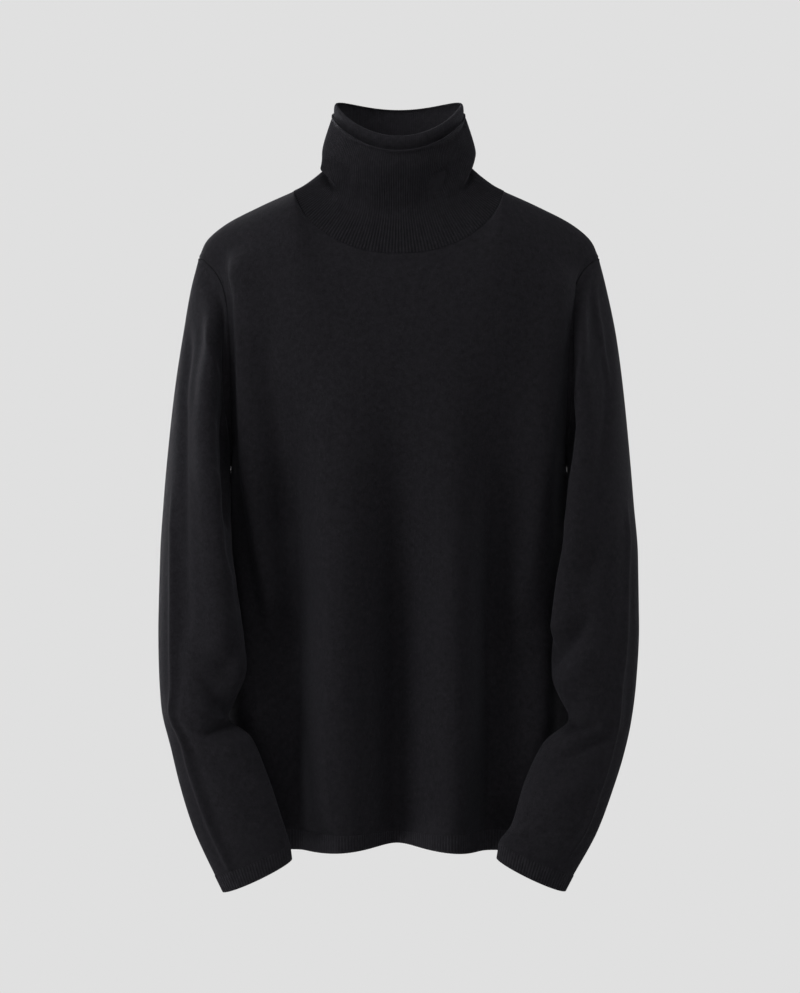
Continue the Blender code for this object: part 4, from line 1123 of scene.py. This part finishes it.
# The two rib materials paint shade into the grooves between their ribs.
WELT = wool_material("charcoal_welt_rib", wool, WELT_KNIT, WELT_CHARCOAL, sheen=0.05, painted_groove_shade=0.3)
COLLAR = wool_material("charcoal_collar_rib", wool, COLLAR_KNIT, COLLAR_CHARCOAL, sheen=0.10,
                       painted_groove_shade=0.35)


# ---------------------------------------------------------------- dressing the frame
def dress(piece, cad_node, material):
    piece.data.materials.append(material)
    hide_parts(cad_node)
    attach(piece, "root")


dress(make_panel("front_knit", FRONT), "front_panel", JERSEY)
dress(make_panel("back_knit", BACK), "back_panel", JERSEY)
for side in SIDES:
    dress(make_sleeve(side, "sleeve_knit_" + side), "sleeve_" + side, JERSEY)
    dress(make_cuff(side, "cuff_knit_" + side), "cuff_rib_" + side, WELT)
dress(make_hem("hem_knit_front", FRONT), "hem_rib_front", WELT)
dress(make_hem("hem_knit_back", BACK), "hem_rib_back", WELT)
dress(make_collar_outer("collar_knit_outer"), "collar_outer", COLLAR)
dress(make_collar_inner("collar_knit_inner"), "collar_inner", COLLAR)


# ---------------------------------------------------------------- studio
PAPER_GREY = 0.7454
SPILL = 0.12            # share of the paper's brightness that lights the cloth
SHEET_SIZE = 20.0
FLOOR_Z = -2.2
WALL_Y = 7.0
LEVEL = (0.0, 0.0, 0.0)
UPRIGHT = (math.pi / 2.0, 0.0, 0.0)
LIT_POINT = Vector((0.0, 0.0, -0.3))
SOFTBOX_REACH = 2.6
SOFTBOX_SIZE = 1.0
# Degrees from the front, + towards +X, degrees of rise, and power.
SOFTBOXES = {
    "rear_left_high": (-150, 40, 26),
    "rear_left_low": (-150, 0, 20.3),
    "rear_left": (-125, 0, 10.3),
    "rear_side_left": (-125, 40, 4),
    "top": (0, 75, 12.3),
    "side_low_left": (-90, -30, 11.9),
    "low_left": (-60, -30, 12),
    "front_left_high": (-62, 40, 11.2),
    "side_right": (110, 0, 9.1),
    "rear_right": (150, 0, 5.4),
    "low_front": (0, -30, 4.9),
    "front_right": (75, 0, 4.7),
    "front_right_high": (15, 40, 4.2),
    "low_right": (60, -30, 2.8),
    "front_left": (-42, 0, 2.9),
}
CAMERA_PLACE = (0.00122, -3.0, -0.3024)
CAMERA_LENS = 132.35
SENSOR_WIDTH = 36.0


def seen_only(tree, strength):
    """Full strength for what the camera sees, and a little for the light that reaches the cloth."""
    path = node(tree, "ShaderNodeLightPath")
    spill = math_node(tree, "MULTIPLY_ADD", path.outputs["Is Camera Ray"], 1.0 - SPILL)
    spill.node.inputs[2].default_value = SPILL
    tree.links.new(spill, strength)


def plain_grey(name, level):
    """Even grey paper as the camera sees it, which throws hardly any light on the cloth."""
    material = bpy.data.materials.new(name)
    material.use_nodes = True
    tree = material.node_tree
    tree.nodes.remove(tree.nodes["Principled BSDF"])
    glow = node(tree, "ShaderNodeEmission")
    set_inputs(glow, {"Color": (level, level, level, 1.0)})
    seen_only(tree, glow.inputs["Strength"])
    tree.links.new(glow.outputs[0], tree.nodes["Material Output"].inputs["Surface"])
    return material


def studio_sheet(name, place, turn, paper):
    bpy.ops.mesh.primitive_plane_add(size=SHEET_SIZE, location=place, rotation=turn)
    sheet = bpy.context.object
    sheet.name = name
    sheet.data.materials.append(paper)


def softbox(name, degrees, rise, power):
    """Square soft light that is aimed at the middle of the sweater."""
    across, ahead = sine_and_cosine(degrees)
    up, level = sine_and_cosine(rise)
    place = Vector((across * level, -ahead * level, up)) * SOFTBOX_REACH + LIT_POINT
    bpy.ops.object.light_add(type="AREA", location=place)
    lamp = bpy.context.object
    lamp.name = name
    lamp.data.shape = "SQUARE"
    lamp.data.size = SOFTBOX_SIZE
    lamp.data.energy = power
    lamp.rotation_euler = (LIT_POINT - place).to_track_quat("-Z", "Y").to_euler()
    lamp.visible_camera = False


grey_paper = plain_grey("studio_paper", PAPER_GREY)
studio_sheet("studio_floor", (0.0, 0.0, FLOOR_Z), LEVEL, grey_paper)
studio_sheet("studio_wall", (0.0, WALL_Y, 0.0), UPRIGHT, grey_paper)

world = bpy.data.worlds.new("studio_air")
world.use_nodes = True
air = world.node_tree.nodes["Background"]
set_inputs(air, {"Color": (PAPER_GREY, PAPER_GREY, PAPER_GREY, 1.0)})
seen_only(world.node_tree, air.inputs["Strength"])
bpy.context.scene.world = world
bpy.context.scene.view_settings.view_transform = "Standard"

for name, settings in SOFTBOXES.items():
    softbox(name, *settings)

bpy.ops.object.camera_add(location=CAMERA_PLACE, rotation=UPRIGHT)
camera = bpy.context.object
camera.name = "camera"
camera.data.sensor_fit = "HORIZONTAL"
camera.data.sensor_width = SENSOR_WIDTH
camera.data.lens = CAMERA_LENS
bpy.context.scene.camera = camera
